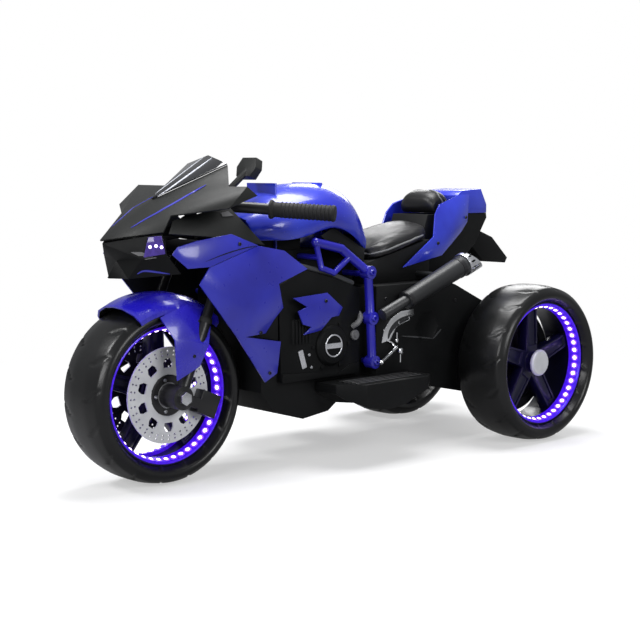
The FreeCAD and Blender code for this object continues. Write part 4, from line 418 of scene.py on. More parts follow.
# %% metal, light and screen finishes
disc_steel = metal("disc_steel", (0.66, 0.67, 0.70), (0.78, 0.79, 0.81), roughness=(0.42, 0.56),
                   stretch=(1, 6, 6), scratch=0.04, metallic=0.25)
bright_steel = metal("bright_steel", (0.42, 0.43, 0.45), (0.58, 0.59, 0.61), roughness=(0.22, 0.36),
                     stretch=(1, 8, 1), scratch=0.08)
chrome = metal("chrome", (0.74, 0.75, 0.77), (0.84, 0.85, 0.87), roughness=(0.06, 0.14),
               stretch=(3, 3, 3), scratch=0.03)
silver_trim = metal("silver_trim", (0.66, 0.67, 0.70), (0.82, 0.83, 0.86), roughness=(0.22, 0.36),
                    stretch=(6, 1, 1), scratch=0.06)
strip_glow = lit("strip_glow", (0.050, 0.006, 0.62), strength=0.9)
halo_glow = lit("halo_glow", (0.22, 0.07, 1.0), strength=1.3)
lamp_glow = lit("lamp_glow", (0.74, 0.58, 1.0), strength=6.0)
lens_violet = lit("lens_violet", (0.060, 0.035, 0.24), strength=0.30, roughness=0.06)
smoked_screen = tinted("smoked_screen", (0.020, 0.021, 0.024), through=0.25)
print("finishes:", len(finishes))

# %% [markdown]
# Each solid now takes the finish of the real piece. A table pairs them, so a wrong one is easy to see. The packed
# solids have sharp arrises, and a moulding never does, so a Weld joins the points that the file keeps apart and
# a small Bevel rounds every edge sharper than thirty degrees. Both are modifiers: the solids stay as they are.
# The perforated disc and the thin strips keep their edges, because their holes are finer than the rounding.

# %% finishes for the solids
finish_table = {
    tyre_black: ["front_tyre", "rear_left_tyre", "rear_right_tyre"],
    rim_dark: ["front_rim", "rear_left_rim", "rear_right_rim"],
    strip_glow: ["front_led_rings", "rear_left_led_ring", "rear_right_led_ring"],
    disc_steel: ["front_brake_discs", "rear_left_hub_cap", "rear_right_hub_cap"],
    silver_trim: ["clutch_trims", "exhaust_tips"],
    bright_steel: ["front_axle", "front_axle_nuts", "rear_axle", "drive_motors"],
    fork_black: ["fork_legs", "fork_yoke", "handlebar", "steering_head", "brake_calipers"],
    fender_blue_painted_lamplight: ["front_fender"],
    blue_gloss: ["upper_fairings", "lower_fairings", "duct_panels"],
    tank_blue_painted_reflection: ["fuel_tank_cover", "tail_cowls", "tail_hump"],
    charcoal: ["nose_cowl", "cowl_side_panels", "instrument_pod"],
    frame_blue: ["trellis_frames"],
    black_grain: ["chassis_tub", "spine", "rear_housing", "seat_base", "tail_base", "tail_bracket", "chin_cowl",
                  "knee_pads", "engine_cover_left", "engine_cover_right", "side_vents", "footboards",
                  "seat_cushion", "backrest_pad"],
    satin_grey: ["exhausts"],
    grip_rubber: ["handlebar_grips"],
    smoked_screen: ["windscreen"],
    lens_violet: ["headlights"],
    chrome: ["foot_levers"],
    red_plastic: ["power_button", "direction_switch"],
    grey_plastic: ["accelerator_pedal", "front_wheel_bushes", "drive_gearboxes", "battery", "controller"],
}
rounding, rounding_steps, joined_within = 0.0009, 2, 0.00002
crease = math.radians(30)
keeps_edges = ("front_brake_discs", "front_led_rings", "rear_left_led_ring", "rear_right_led_ring")
for finish, solids in finish_table.items():
    for name in solids:
        solid = node_of[name]
        solid.data.materials.clear()
        solid.data.materials.append(finish)
        if name not in keeps_edges:
            solid.modifiers.new("join_points", "WELD").merge_threshold = joined_within
            bevel = solid.modifiers.new("soften_edges", "BEVEL")
            bevel.width, bevel.segments = rounding, rounding_steps
            bevel.limit_method, bevel.angle_limit = "ANGLE", crease
        solid.data.shade_smooth()
        solid.data.set_sharp_from_angle(angle=crease)
left_out = sorted(set(node_of) - {name for solids in finish_table.values() for name in solids})
print("without a finish:", left_out)

# %% [markdown]
# The blue panels are sprayed on their outer faces only, so what looks towards the middle stays black. The brake
# discs' inner faces are dark too: painted shade, which keeps the far one quiet behind the spokes. Thin liners could
# be laid inside, but each face already knows which way it looks, so a second material slot and one test are enough.

# %% dark inner faces
# Fairings, fender and ducts are unpainted inside; the discs' dark inner faces are painted shade.
unpainted_and_shaded_inside = ("upper_fairings", "lower_fairings", "front_fender", "duct_panels", "front_brake_discs")
inward_share = 0.25
for name in unpainted_and_shaded_inside:
    mesh = node_of[name].data
    mesh.materials.append(black_grain)
    dark_slot = len(mesh.materials) - 1
    inner = [f for f in mesh.polygons if f.normal.x * f.center.x < -inward_share * abs(f.center.x)]
    for face in inner:
        face.material_index = dark_slot
    print(name, "dark faces:", len(inner))

# %% [markdown]
# The small pieces are built from a few shop operations, each returning points and faces. The first is turning a
# profile about an axis, as on a lathe. Blender's Screw modifier could do the same, but plain points need no
# applying, and several results can be joined into one mesh.

# %% turning
def ring_faces(rings, sides, closed=False):
    """Faces over rings of points with equally many sides; an open row of rings gets a cap at each end."""
    pairs = [(a, (a + 1) % rings) for a in range(rings if closed else rings - 1)]
    faces = [(a * sides + s, a * sides + (s + 1) % sides, b * sides + (s + 1) % sides, b * sides + s)
             for a, b in pairs for s in range(sides)]
    if not closed:
        faces += [tuple(reversed(range(sides))), tuple(range((rings - 1) * sides, rings * sides))]
    return faces


def turned(profile, place, axis, steps=20, ring=False):
    """Profile of (distance along, radius) pairs turned about an axis through a place; a ring has no end caps."""
    along = Vector(axis).normalized()
    across = along.orthogonal().normalized()
    up = along.cross(across)
    place = Vector(place)
    turns = [math.tau * s / steps for s in range(steps)]
    spokes = [across * math.cos(turn) + up * math.sin(turn) for turn in turns]
    points = [place + along * distance + spoke * radius for distance, radius in profile for spoke in spokes]
    return points, ring_faces(len(profile), steps, ring)


print("a capped turning of 3 rings and 4 sides has", len(ring_faces(3, 4)), "faces")

# %% [markdown]
# The second operation draws a tube along a path: hoses, pipes, wires and piping are all made so. A bevelled curve
# is Blender's own way, but it can twist at a bend. Here the section is carried from place to place and only
# turned as far as the path turns. The path itself is a smooth curve through a few places.

# %% paths and tubes
def smooth_path(places, per_span=6):
    """Places joined by a smooth curve that passes through each of them."""
    places = [Vector(p) for p in places]
    ends = [2 * places[0] - places[1], *places, 2 * places[-1] - places[-2]]
    curve = []
    for a, b, c, d in zip(ends, ends[1:], ends[2:], ends[3:]):
        for step in range(per_span):
            t = step / per_span
            curve.append(0.5 * (2 * b + (c - a) * t + (2 * a - 5 * b + 4 * c - d) * t * t
                                + (3 * b - a - 3 * c + d) * t ** 3))
    return curve + [places[-1]]


def tube(path, radius, sides=10, closed=False):
    """Round tube along a list of places; its section is carried along without twist."""
    count = len(path)
    turns = [math.tau * s / sides for s in range(sides)]
    points, up = [], None
    for index, place in enumerate(path):
        before = path[index - 1] if closed or index else place
        after = path[(index + 1) % count] if closed or index < count - 1 else place
        ahead = (after - before).normalized()
        up = ahead.orthogonal() if up is None else up - ahead * up.dot(ahead)
        up.normalize()
        side = ahead.cross(up)
        points += [place + (up * math.cos(turn) + side * math.sin(turn)) * radius for turn in turns]
    return points, ring_faces(count, sides, closed)


print("places on a smooth path through 3:", len(smooth_path([(0, 0, 0), (1, 0, 0), (2, 1, 0)])))

# %% [markdown]
# The third operation cuts a plate with rounded corners and a small bevel along its upper edge. A cube with a Bevel
# modifier comes close, but its corners and its edge would share one radius. Three rings of points, each a rounded
# rectangle, give both their own.

# %% plates
plate_bevel, least_bend = 0.3, 0.3


def plate(place, right, up, width, height, thick, corner, steps=4):
    """Plate with rounded corners and a small bevel, lying on a face at a place."""
    right, up = Vector(right).normalized(), Vector(up).normalized()
    out, place = right.cross(up), Vector(place)
    points = []
    edge = thick * plate_bevel
    for inset, lift in ((0, 0), (0, thick - edge), (edge, thick)):
        half_w, half_h = width / 2 - inset, height / 2 - inset
        bend = max(corner - inset, corner * least_bend)
        for quarter, (sx, sy) in enumerate(((1, 1), (-1, 1), (-1, -1), (1, -1))):
            for step in range(steps + 1):
                turn = math.pi / 2 * (quarter + step / steps)
                points.append(place + right * (sx * (half_w - bend) + bend * math.cos(turn))
                              + up * (sy * (half_h - bend) + bend * math.sin(turn)) + out * lift)
    return points, ring_faces(3, len(points) // 3)


print("plate bevel:", plate_bevel, "of the thickness")

# %% [markdown]
# Several results are joined into one mesh, which rides on the body that carries it, so a pose moves it along. The
# machine is alike on both sides apart from its controls, so most places are written for the left and mirrored. A
# Mirror modifier could do that for a whole object, but not for screws that each stand on their own panel.

# %% joining, adding and mirroring
left_right = (1, -1)


def joined(parts):
    """Several results as one."""
    points, faces = [], []
    for more, cells in parts:
        start = len(points)
        points += more
        faces += [tuple(start + corner for corner in cell) for cell in cells]
    return points, faces


def add_piece(name, made, finish, body, sharp=35):
    """Mesh object from points and faces, with its finish, riding on a body."""
    points, faces = made
    mesh = bpy.data.meshes.new(name)
    mesh.from_pydata(points, [], faces)
    mesh.materials.append(finish)
    mesh.shade_smooth()
    mesh.set_sharp_from_angle(angle=math.radians(sharp))
    piece = bpy.data.objects.new(name, mesh)
    stage_items.link(piece)
    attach(piece, body)
    print(name, "faces:", len(mesh.polygons))
    return piece


def on_side(place, side):
    """Place as written for the left, with side 1, or its mirror image on the right, with side -1."""
    return Vector((side * place[0], place[1], place[2]))


def each_side(places):
    """A run of places on the left, and the same run on the right."""
    return [[on_side(place, side) for place in places] for side in left_right]


print("mirror image of (1, 2, 3):", tuple(on_side((1, 2, 3), -1)))

# %% [markdown]
# The tyres are one fat blow-moulded section, smooth over the crown, with short slanting sipes on the shoulders.
# They could be cut with booleans, but a turned grid of points is cleaner: every point that falls inside a sipe is
# simply pushed towards the axle. The section is a smooth curve through a few measured places, so the flank bulges
# past the rim as the real one does. Each tyre takes the place of its plain CAD solid.

# %% tyres
axle_height, half_base, half_track = 0.16, 0.4, 0.196
wheels = {"front": (Vector((0, -half_base, axle_height)), "front_wheel"),
          "rear_left": (Vector((half_track, half_base, axle_height)), "rear_left_wheel"),
          "rear_right": (Vector((-half_track, half_base, axle_height)), "rear_right_wheel")}
tyre_section = [(0.0440, 0.1261), (0.0500, 0.1290), (0.0565, 0.1322), (0.0602, 0.1357), (0.0613, 0.1405),
                (0.0590, 0.1465), (0.0520, 0.1530), (0.0473, 0.1553), (0.0340, 0.1577), (0.0207, 0.1596),
                (0.0, 0.1600)]
sipe_count, columns_each, tread_crease = 16, 20, 60
sipe_depth, sipe_half, sipe_slant = 0.0032, 0.0030, 0.75
sipe_from, sipe_to, sipe_fade = 0.020, 0.055, 0.006
wave_share, wave_rate = 0.25, 60


def sipe_cut(across, radius, turn, row):
    """How far a point of the tread is pushed in; row staggers the sipes of the two shoulders."""
    reach = abs(across)
    if not sipe_from < reach < sipe_to:
        return 0.0
    pitch = math.tau / sipe_count
    run = reach - sipe_from
    lean = run * sipe_slant / radius + wave_share * math.sin(run * wave_rate) * sipe_half / radius
    off = (turn + row * pitch / 2 + lean) % pitch - pitch / 2
    fade = min(1.0, run / sipe_fade, (sipe_to - reach) / sipe_fade)
    return sipe_depth * fade * max(0.0, 1 - (abs(off) * radius / sipe_half) ** 2)


def tyre_skin(centre):
    """Points and faces of one tyre about its centre."""
    half = [(p.x, p.y) for p in smooth_path([(x, r, 0) for x, r in tyre_section], 2)]
    section = half + [(-x, r) for x, r in reversed(half[:-1])]
    columns = sipe_count * columns_each
    points = []
    for column in range(columns):
        turn = math.tau * column / columns
        for across, radius in section:
            deep = radius - sipe_cut(across, radius, turn, across > 0)
            points.append(centre + Vector((across, deep * math.cos(turn), deep * math.sin(turn))))
    return points, ring_faces(columns, len(section), True)


for word, (centre, body) in wheels.items():
    tread = add_piece(f"{word}_tyre_tread", tyre_skin(centre), tyre_black, body, tread_crease)
    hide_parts(f"{word}_tyre")

# %% [markdown]
# The wheels' light rings are flexible strips, glued inside the rim's lip, with a lamp about every centimetre and a
# half. The strip is already there as a solid. A dotted glow in its finish would do from afar, but close up each
# lamp should stand out: it is a small dome on the strip's sloping face, with a low disc of paler violet round it,
# where the light spreads in the plastic. A thin lit edge closes the strip against the tyre. They all turn with
# the wheels.

# %% wheel lamps
lamp_count, lamp_sides, lip_steps = 44, 10, 96
lamp_radius, lamp_height, lamp_sunk = 0.0043, 0.0021, 0.0004
lamp_shares = [(0, 1.0), (0.5, 0.9), (1.0, 0.45)]
halo_profile = [(-0.0006, 0.0074), (0.0003, 0.0072), (0.0006, 0.0058)]
lip_profile = [(0.0430, 0.1226), (0.0446, 0.1226), (0.0452, 0.1212), (0.0446, 0.1192), (0.0420, 0.1178)]
strip_ring, strip_edge = 0.1160, 0.0335
looks_out, looks_in = 0.24, 0.97
lit_sides = {"front": {"left": 1, "right": -1}, "rear_left": {"left": 1}, "rear_right": {"right": -1}}


def domed(height, radius, shares, sunk):
    """Profile from shares of a height and a radius; a height share of 0 lies sunk in the face below."""
    return [(height * tall if tall else -sunk, radius * wide) for tall, wide in shares]


def wheel_lamps(centre, side, profile):
    """Row of lamp domes on one strip; side is 1 on the left of its wheel and -1 on the right."""
    domes = []
    for index in range(lamp_count):
        turn = math.tau * index / lamp_count
        spoke = Vector((0, math.cos(turn), math.sin(turn)))
        inward = Vector((side * looks_out, 0, 0)) - spoke * looks_in
        foot = centre + Vector((side * strip_edge, 0, 0)) + spoke * strip_ring
        domes.append(turned(profile, foot, inward, lamp_sides))
    return joined(domes)


dome_profile = domed(lamp_height, lamp_radius, lamp_shares, lamp_sunk)
for word, (centre, body) in wheels.items():
    for hand, side in lit_sides[word].items():
        lamps, halos = (wheel_lamps(centre, side, profile) for profile in (dome_profile, halo_profile))
        lip = turned(lip_profile, centre, (side, 0, 0), lip_steps, True)
        add_piece(f"{word}_{hand}_lamps", lamps, lamp_glow, body)
        add_piece(f"{word}_{hand}_halos", halos, halo_glow, body)
        add_piece(f"{word}_{hand}_lip", lip, strip_glow, body)

# %% [markdown]
# Each rear wheel is driven from its inner side, where the gearbox turns a wide black drum moulded to the hub. Seen
# between the spokes it closes most of the wheel, so only a little light comes through near the rim. A flat disc
# would close it as well, but would look like card; one turned profile gives the drum a step and a groove.

# %% drive drums
drum_steps = 72
drum_profile = [(-0.0425, 0.0205), (-0.0425, 0.1060), (-0.0405, 0.1080), (-0.0340, 0.1080), (-0.0320, 0.1060),
                (-0.0320, 0.0880), (-0.0350, 0.0860), (-0.0350, 0.0560), (-0.0320, 0.0540), (-0.0320, 0.0205)]
for word, side in (("rear_left", 1), ("rear_right", -1)):
    centre, body = wheels[word]
    drum = turned(drum_profile, centre, (side, 0, 0), drum_steps, True)
    add_piece(f"{word}_drum", drum, black_grain, body)

# %% [markdown]
# Fasteners give the eye its scale. A socket screw is a short turned profile with a hollow in its head, and it can
# stand anywhere on a panel. Its place could be typed to the last digit, but it is safer to ask the panel: the
# nearest point of its skin gives the seat, and the skin's normal the axis. A search tree per solid finds it fast.

# %% socket screws
head_height, head_sunk, head_steps = 0.7, 0.0003, 14
head_shares = [(0, 1.0), (0.6, 1.0), (1.0, 0.8), (1.0, 0.5), (0.35, 0.45), (0.35, 0.05)]
skins = {}


def skin_of(node):
    """Search tree over the faces of a solid."""
    if node not in skins:
        mesh = node_of[node].data
        skins[node] = BVHTree.FromPolygons([v.co.copy() for v in mesh.vertices],
                                           [tuple(p.vertices) for p in mesh.polygons])
    return skins[node]


def seat_on(node, place):
    """Point of a solid's skin nearest to a place, and the skin's normal there."""
    return skin_of(node).find_nearest(place)[:2]


def screw(place, axis, radius):
    """Socket screw whose head stands on a face."""
    return turned(domed(radius * head_height, radius, head_shares, head_sunk), place, axis, head_steps)


def screws_on(node, places, radius):
    """Screws at the points of a solid's skin nearest to the given places and their mirror images."""
    return [screw(*seat_on(node, on_side(place, side)), radius) for place in places for side in left_right]


print("screw profile places:", len(head_shares))

# %% [markdown]
# The body's panels are held by small black screws, the fork guards by two each, and the blue side frames by large
# bolts in their own colour. They sit near corners and edges, where a real panel needs them. The frame's lugs are
# flat and face outwards, so their bolts need no search.

# %% panel, guard and frame screws
panel_head, guard_head, lug_head = 0.0034, 0.0030, 0.0062
panel_places = {
    "lower_fairings": [(0.120, -0.300, 0.330), (0.120, -0.250, 0.265), (0.118, -0.228, 0.190)],
    "upper_fairings": [(0.113, -0.292, 0.425)],
    "duct_panels": [(0.12, -0.094, 0.312)],
    "tail_cowls": [(0.085, 0.250, 0.405), (0.075, 0.345, 0.455)],
    "knee_pads": [(0.088, -0.030, 0.415)],
    "rear_housing": [(0.112, 0.070, 0.305), (0.112, 0.270, 0.290), (0.112, 0.330, 0.112), (0.112, 0.075, 0.140)],
}
guard_places = [(0.093, -0.378, 0.232), (0.080, -0.352, 0.290)]
lug_places = [(0.1225, 0.022, 0.359), (0.1265, 0.0248, 0.271), (0.1285, 0.028, 0.186)]
heads = [head for node, places in panel_places.items() for head in screws_on(node, places, panel_head)]
add_piece("panel_screws", joined(heads), fork_black, "chassis")
guard_heads = screws_on("front_fender", guard_places, guard_head)
add_piece("guard_screws", joined(guard_heads), fork_black, "steering")
lug_heads = [screw(on_side(place, side), (side, 0, 0), lug_head) for place in lug_places for side in left_right]
add_piece("frame_bolts", joined(lug_heads), frame_blue, "chassis")

# %% [markdown]
# Seat and backrest are blocks of foam in a stretched vinyl cover. A cover pulled over foam is round between its
# seams and tight at them. It could be sculpted, but a cloth simulation finds that shape by itself, and it needs an
# even net of faces to work on. So the soft solid is remeshed and drawn in a little, and the line of its widest
# seam is read from the net.

# %% cover net and seam
net_size, drawn_in, seam_sectors, seam_rounds = 0.0045, 0.0025, 72, 3


def even_net(name, node):
    """Even, closed net of faces over a soft solid, drawn in a little."""
    cover = bpy.data.objects.new(name, node_of[node].data.copy())
    stage_items.link(cover)
    remesh = cover.modifiers.new("even_net", "REMESH")
    remesh.mode, remesh.voxel_size = "VOXEL", net_size
    net = bpy.data.meshes.new_from_object(cover.evaluated_get(bpy.context.evaluated_depsgraph_get()))
    cover.modifiers.clear()
    cover.data = net
    net.name = name
    for point, normal in zip(net.vertices, [v.normal.copy() for v in net.vertices]):
        point.co -= normal * drawn_in
    print(name, "net points:", len(net.vertices))
    return cover


def widest_loop(places, first, second):
    """Closed line round the widest part of a cover, seen along the axis that is neither first nor second."""
    centre = [0.5 * (min(p[axis] for p in places) + max(p[axis] for p in places)) for axis in (first, second)]
    furthest = {}
    for place in places:
        u, v = place[first] - centre[0], place[second] - centre[1]
        sector = int((math.atan2(v, u) / math.tau + 0.5) * seam_sectors) % seam_sectors
        if sector not in furthest or math.hypot(u, v) > furthest[sector][0]:
            furthest[sector] = (math.hypot(u, v), place)
    line = [furthest[sector][1].copy() for sector in sorted(furthest)]
    for _ in range(seam_rounds):
        line = [(line[i - 1] + 2 * line[i] + line[(i + 1) % len(line)]) / 4 for i in range(len(line))]
    return line


print("net size:", net_size, "m")

# %% [markdown]
# Stuffing works like a pump: pressure blows the net up from inside while its underside and its seam are held, as
# the real cover is stapled and sewn there. Gravity is off, because foam carries the cover. The travel of every
# point is capped, so the result stays close to the solid; without the cap a long panel would balloon.

# %% stuffing
stuffing_pressure, last_frame = 4.0, 20
vinyl_cloth = {"quality": 6, "mass": 0.25, "tension_stiffness": 22, "compression_stiffness": 22,
               "shear_stiffness": 10, "bending_stiffness": 1.5, "use_pressure": True,
               "uniform_pressure_force": stuffing_pressure, "vertex_group_mass": "held"}


def stuff(cover, held, most):
    """Blow the cover up by cloth pressure, holding some points, and cap how far any point travels."""
    start = [v.co.copy() for v in cover.data.vertices]
    group = cover.vertex_groups.new(name="held")
    group.add([i for i, hold in enumerate(held) if hold], 1.0, "REPLACE")
    cloth = cover.modifiers.new("stuffing", "CLOTH")
    for setting, value in vinyl_cloth.items():
        setattr(cloth.settings, setting, value)
    cloth.settings.effector_weights.gravity = 0
    cloth.collision_settings.use_collision = False
    for step in range(1, last_frame + 1):
        bpy.context.scene.frame_set(step)
    blown = cover.evaluated_get(bpy.context.evaluated_depsgraph_get()).to_mesh()
    ends = [v.co.copy() for v in blown.vertices]
    cover.modifiers.remove(cloth)
    bpy.context.scene.frame_set(1)
    for point, before, after in zip(cover.data.vertices, start, ends):
        travel = after - before
        point.co = before + travel * min(1.0, most / max(travel.length, 1e-9))


print("stuffing pressure:", stuffing_pressure, "for", last_frame, "frames")

# %% [markdown]
# Now both covers are made. Each takes the place of its solid, has one level of subdivision to smooth the net, and
# gets a cord of grey piping sewn round its widest seam, as the real vinyl has. The piping is a tube along the
# seam of the finished cover, so it follows whatever shape the stuffing gave.

# %% padded seat and backrest
seat_vinyl = moulded("seat_vinyl", (0.006, 0.006, 0.0065), (0.012, 0.012, 0.013), roughness=(0.32, 0.44),
                     grain=1500, relief=0.30, specular=0.38, wear=0.03)
piping_grey = moulded("piping_grey", (0.13, 0.135, 0.14), (0.19, 0.195, 0.20), roughness=(0.34, 0.46),
                      grain=1200, relief=0.2)
seam_band, seam_sides, rest_share = 0.0036, 6, 0.55
down, back = Vector((0, 0, -1)), Vector((0, 1, 0))


def padded_piece(name, node, plane, rests, most, pipe_radius):
    """Stuffed cover with piping round its widest seam, in place of a soft solid."""
    cover = even_net(name, node)
    seam = widest_loop([v.co for v in cover.data.vertices], *plane)
    seam_tree = BVHTree.FromPolygons(*tube(seam, seam_band, seam_sides, True))
    held = []
    for point in cover.data.vertices:
        near = seam_tree.find_nearest(point.co, net_size)[0] is not None
        held.append(near or any(point.normal.dot(way) > rest_share for way in rests))
    stuff(cover, held, most)
    cover.data.materials.clear()
    cover.data.materials.append(seat_vinyl)
    cover.data.shade_smooth()
    smooth = cover.modifiers.new("smooth_net", "SUBSURF")
    smooth.levels = smooth.render_levels = 1
    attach(cover, "chassis")
    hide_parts(node)
    seam = widest_loop([v.co for v in cover.data.vertices], *plane)
    add_piece(f"{name}_piping", tube(seam, pipe_radius, closed=True), piping_grey, "chassis")
    print(name, "held points:", sum(held))


padded_piece("seat_cover", "seat_cushion", plane=(0, 1), rests=[down], most=0.009, pipe_radius=0.0021)
padded_piece("backrest_cover", "backrest_pad", plane=(0, 2), rests=[down, back], most=0.005,
             pipe_radius=0.0018)

# %% [markdown]
# The dark nose carries thin blue lines and a few grey facets: on the real machine they are strips of foil and
# inset mouldings. They could be painted by a mask, but a raised edge catches the light. Each is a low shape whose
# points are dropped on the nearest place of the panel's skin, so it bends with the facets below. A strip tapers
# to a point at both ends.

# %% strip and facet makers
tip_share, taper_power, top_share, facet_inset = 0.12, 0.6, 0.85, 0.1


def strip_on(node, places, width, lift=0.0007, sink=0.0006):
    """Raised strip along a path on a solid's skin, tapering at both ends."""
    path = smooth_path(places)
    last = len(path) - 1
    points = []
    for index, place in enumerate(path):
        seat, normal = seat_on(node, place)
        ahead = (path[min(index + 1, last)] - path[max(index - 1, 0)]).normalized()
        side = normal.cross(ahead).normalized()
        half = width / 2 * (tip_share + (1 - tip_share) * math.sin(math.pi * index / last) ** taper_power)
        top = half * top_share
        points += [seat - side * half - normal * sink, seat - side * top + normal * lift,
                   seat + side * top + normal * lift, seat + side * half - normal * sink]
    return points, [(cell[0], *cell[:0:-1]) for cell in ring_faces(len(path), 4)]


def facet_on(node, corners, lift=0.0014, sink=0.0010):
    """Raised facet with a bevelled edge, its corners on a solid's skin."""
    seats = [seat_on(node, corner) for corner in corners]
    normal = sum((seat[1] for seat in seats), Vector()).normalized()
    middle = sum((seat[0] for seat in seats), Vector()) / len(seats)
    if (seats[0][0] - middle).cross(seats[1][0] - middle).dot(normal) < 0:
        seats.reverse()
    points = [seat[0] - normal * sink for seat in seats]
    points += [seat[0].lerp(middle, facet_inset) + normal * lift for seat in seats]
    return points, ring_faces(2, len(seats))


print("strips narrow to", tip_share, "of their width")

# %% [markdown]
# The lines run back along the nose and under the chin; the facets sit below the headlamps and on the side panels
# behind the nose. A thin black seam marks the upper fairing's shut line. A boolean could cut it, but a dark strip
# is thinner than any safe cut. All of them were placed on the left, which the photograph shows, and mirrored.

# %% stripes, facets and seams
cowl_line = [(0.0298, -0.4641, 0.4554), (0.0366, -0.4375, 0.4703), (0.0453, -0.4099, 0.4854),
             (0.0465, -0.3764, 0.5003), (0.0465, -0.3459, 0.5138), (0.0549, -0.3214, 0.5276)]
chin_line = [(0.0425, -0.4619, 0.3771), (0.0515, -0.4536, 0.3823), (0.0623, -0.4363, 0.3803),
             (0.0744, -0.4157, 0.3765)]
chin_facet = [(0.0400, -0.4739, 0.4152), (0.0565, -0.4606, 0.4154), (0.0750, -0.4407, 0.4052),
              (0.0615, -0.4561, 0.4018)]
side_facet = [(0.0908, -0.3187, 0.4793), (0.0919, -0.3018, 0.4824), (0.0930, -0.2893, 0.4734),
              (0.0944, -0.3172, 0.4723)]
shut_line = [(0.1105, -0.3676, 0.3968), (0.1124, -0.3253, 0.4088), (0.1126, -0.2807, 0.4175),
             (0.1130, -0.2536, 0.4200)]
lines = [strip_on("nose_cowl", way, width=0.0052) for way in each_side(cowl_line)]
lines += [strip_on("chin_cowl", way, width=0.0040) for way in each_side(chin_line)]
add_piece("blue_lines", joined(lines), blue_gloss, "chassis")
greys = [facet_on("chin_cowl", way) for way in each_side(chin_facet)]
greys += [facet_on("cowl_side_panels", way) for way in each_side(side_facet)]
add_piece("grey_facets", joined(greys), grey_plastic, "chassis")
seams = [strip_on("upper_fairings", way, width=0.0022, lift=0.0004) for way in each_side(shut_line)]
add_piece("fairing_seams", joined(seams), black_grain, "chassis")

# %% [markdown]
# Two pale streaks run up the middle of the screen: painted reflections of the bright room, made of a plastic that
# glows a little. A second tint in the screen's finish would stay flat, so they are strips on its own skin, from the
# point on the nose to the top. Below the nose a plain black liner closes the gap above the side panels. Behind the
# screen, the rider looks at a small display, a thin plate on the tilted pod.

# %% screen streaks, liner and display
# The pale glowing strips on the screen are painted reflections.
screen_reflection_glow = lit("screen_reflection_glow", (0.62, 0.64, 0.70), strength=0.35, roughness=0.15)
streak_starts = (-0.0075, 0.0105)
streak_run = [(1.0, -0.392, 0.507), (1.3, -0.335, 0.543), (1.5, -0.278, 0.577)]
liner_walls = (0.050, 0.052)
liner_outline = [(-0.415, 0.440), (-0.415, 0.449), (-0.385, 0.465), (-0.360, 0.478), (-0.340, 0.484),
                 (-0.340, 0.440)]
pod_tilt, pod_middle, pod_half = math.radians(25), Vector((0, -0.178, 0.5578)), 0.0079
streaks = [strip_on("windscreen", [(start * share, y, z) for share, y, z in streak_run], width=0.0042)
           for start in streak_starts]
add_piece("screen_painted_reflections", joined(streaks), screen_reflection_glow, "chassis")
liners = []
for side in left_right:
    corners = [Vector((side * x, y, z)) for x in liner_walls for y, z in liner_outline]
    liners.append((corners, [cell[::-side] for cell in ring_faces(2, len(liner_outline))]))
add_piece("cowl_liners", joined(liners), black_grain, "chassis")
pod_up = Vector((0, -math.sin(pod_tilt), math.cos(pod_tilt)))
pod_out = Vector((0, math.cos(pod_tilt), math.sin(pod_tilt)))
display_face = plate(pod_middle + pod_out * pod_half, (-1, 0, 0), pod_up, width=0.036, height=0.024,
                     thick=0.0009, corner=0.003)
add_piece("display_face", display_face, lens_violet, "steering")

# %% [markdown]
# Each headlamp has three small projector lamps behind its lens. Lamps inside a clear lens would be truer, but the
# lens is only a few pixels tall. So they are turned domes set on the lens's own skin, and they glow nearly white
# to sparkle at that size.

# %% headlamp projectors
projector_places = [(0.0679, -0.4519, 0.4240), (0.0746, -0.4443, 0.4257), (0.0815, -0.4378, 0.4235)]
projector_profile, projector_steps = [(-0.0005, 0.0028), (0.0006, 0.0026), (0.0012, 0.0012)], 12
projectors = [turned(projector_profile, *seat_on("headlights", on_side(place, side)), projector_steps)
              for place in projector_places for side in left_right]
add_piece("headlamp_projectors", joined(projectors), lamp_glow, "chassis")

# %% [markdown]
# A black carrier ring and five bolts hold each brake disc to the hub. They could be left to a dark patch in the
# disc's finish, but the bolts' round heads are what the eye looks for. Carrier and bolts are turned pieces, and
# they ride on the wheel, because they turn with it.

# %% disc carriers and bolts
front_centre = wheels["front"][0]
carrier_profile = [(0.0430, 0.0368), (0.0450, 0.0365), (0.0465, 0.0345), (0.0465, 0.0240), (0.0430, 0.0232)]
carrier_steps, bolt_count, bolt_circle, bolt_seat, bolt_head = 60, 5, 0.0290, 0.0465, 0.0034
disc_bolts, carriers = [], []
for side in left_right:
    for index in range(bolt_count):
        turn = math.tau * (index + 0.5) / bolt_count
        spoke = Vector((0, math.cos(turn), math.sin(turn)))
        seat = front_centre + Vector((side * bolt_seat, 0, 0)) + spoke * bolt_circle
        disc_bolts.append(screw(seat, (side, 0, 0), bolt_head))
    carriers.append(turned(carrier_profile, front_centre, (side, 0, 0), carrier_steps, True))
add_piece("disc_bolts", joined(disc_bolts), bright_steel, "front_wheel")
add_piece("disc_carriers", joined(carriers), fork_black, "front_wheel")

# %% [markdown]
# Rubber seals close the fork's sliders, and the grips carry moulded ribs, which stop small hands from slipping.
# Bump in the rubber would give the ribs a shade but no outline, so each rib is a turned ring. Seals follow the
# fork's raked line, which runs from the front axle to the steering head; both ride on the steering.

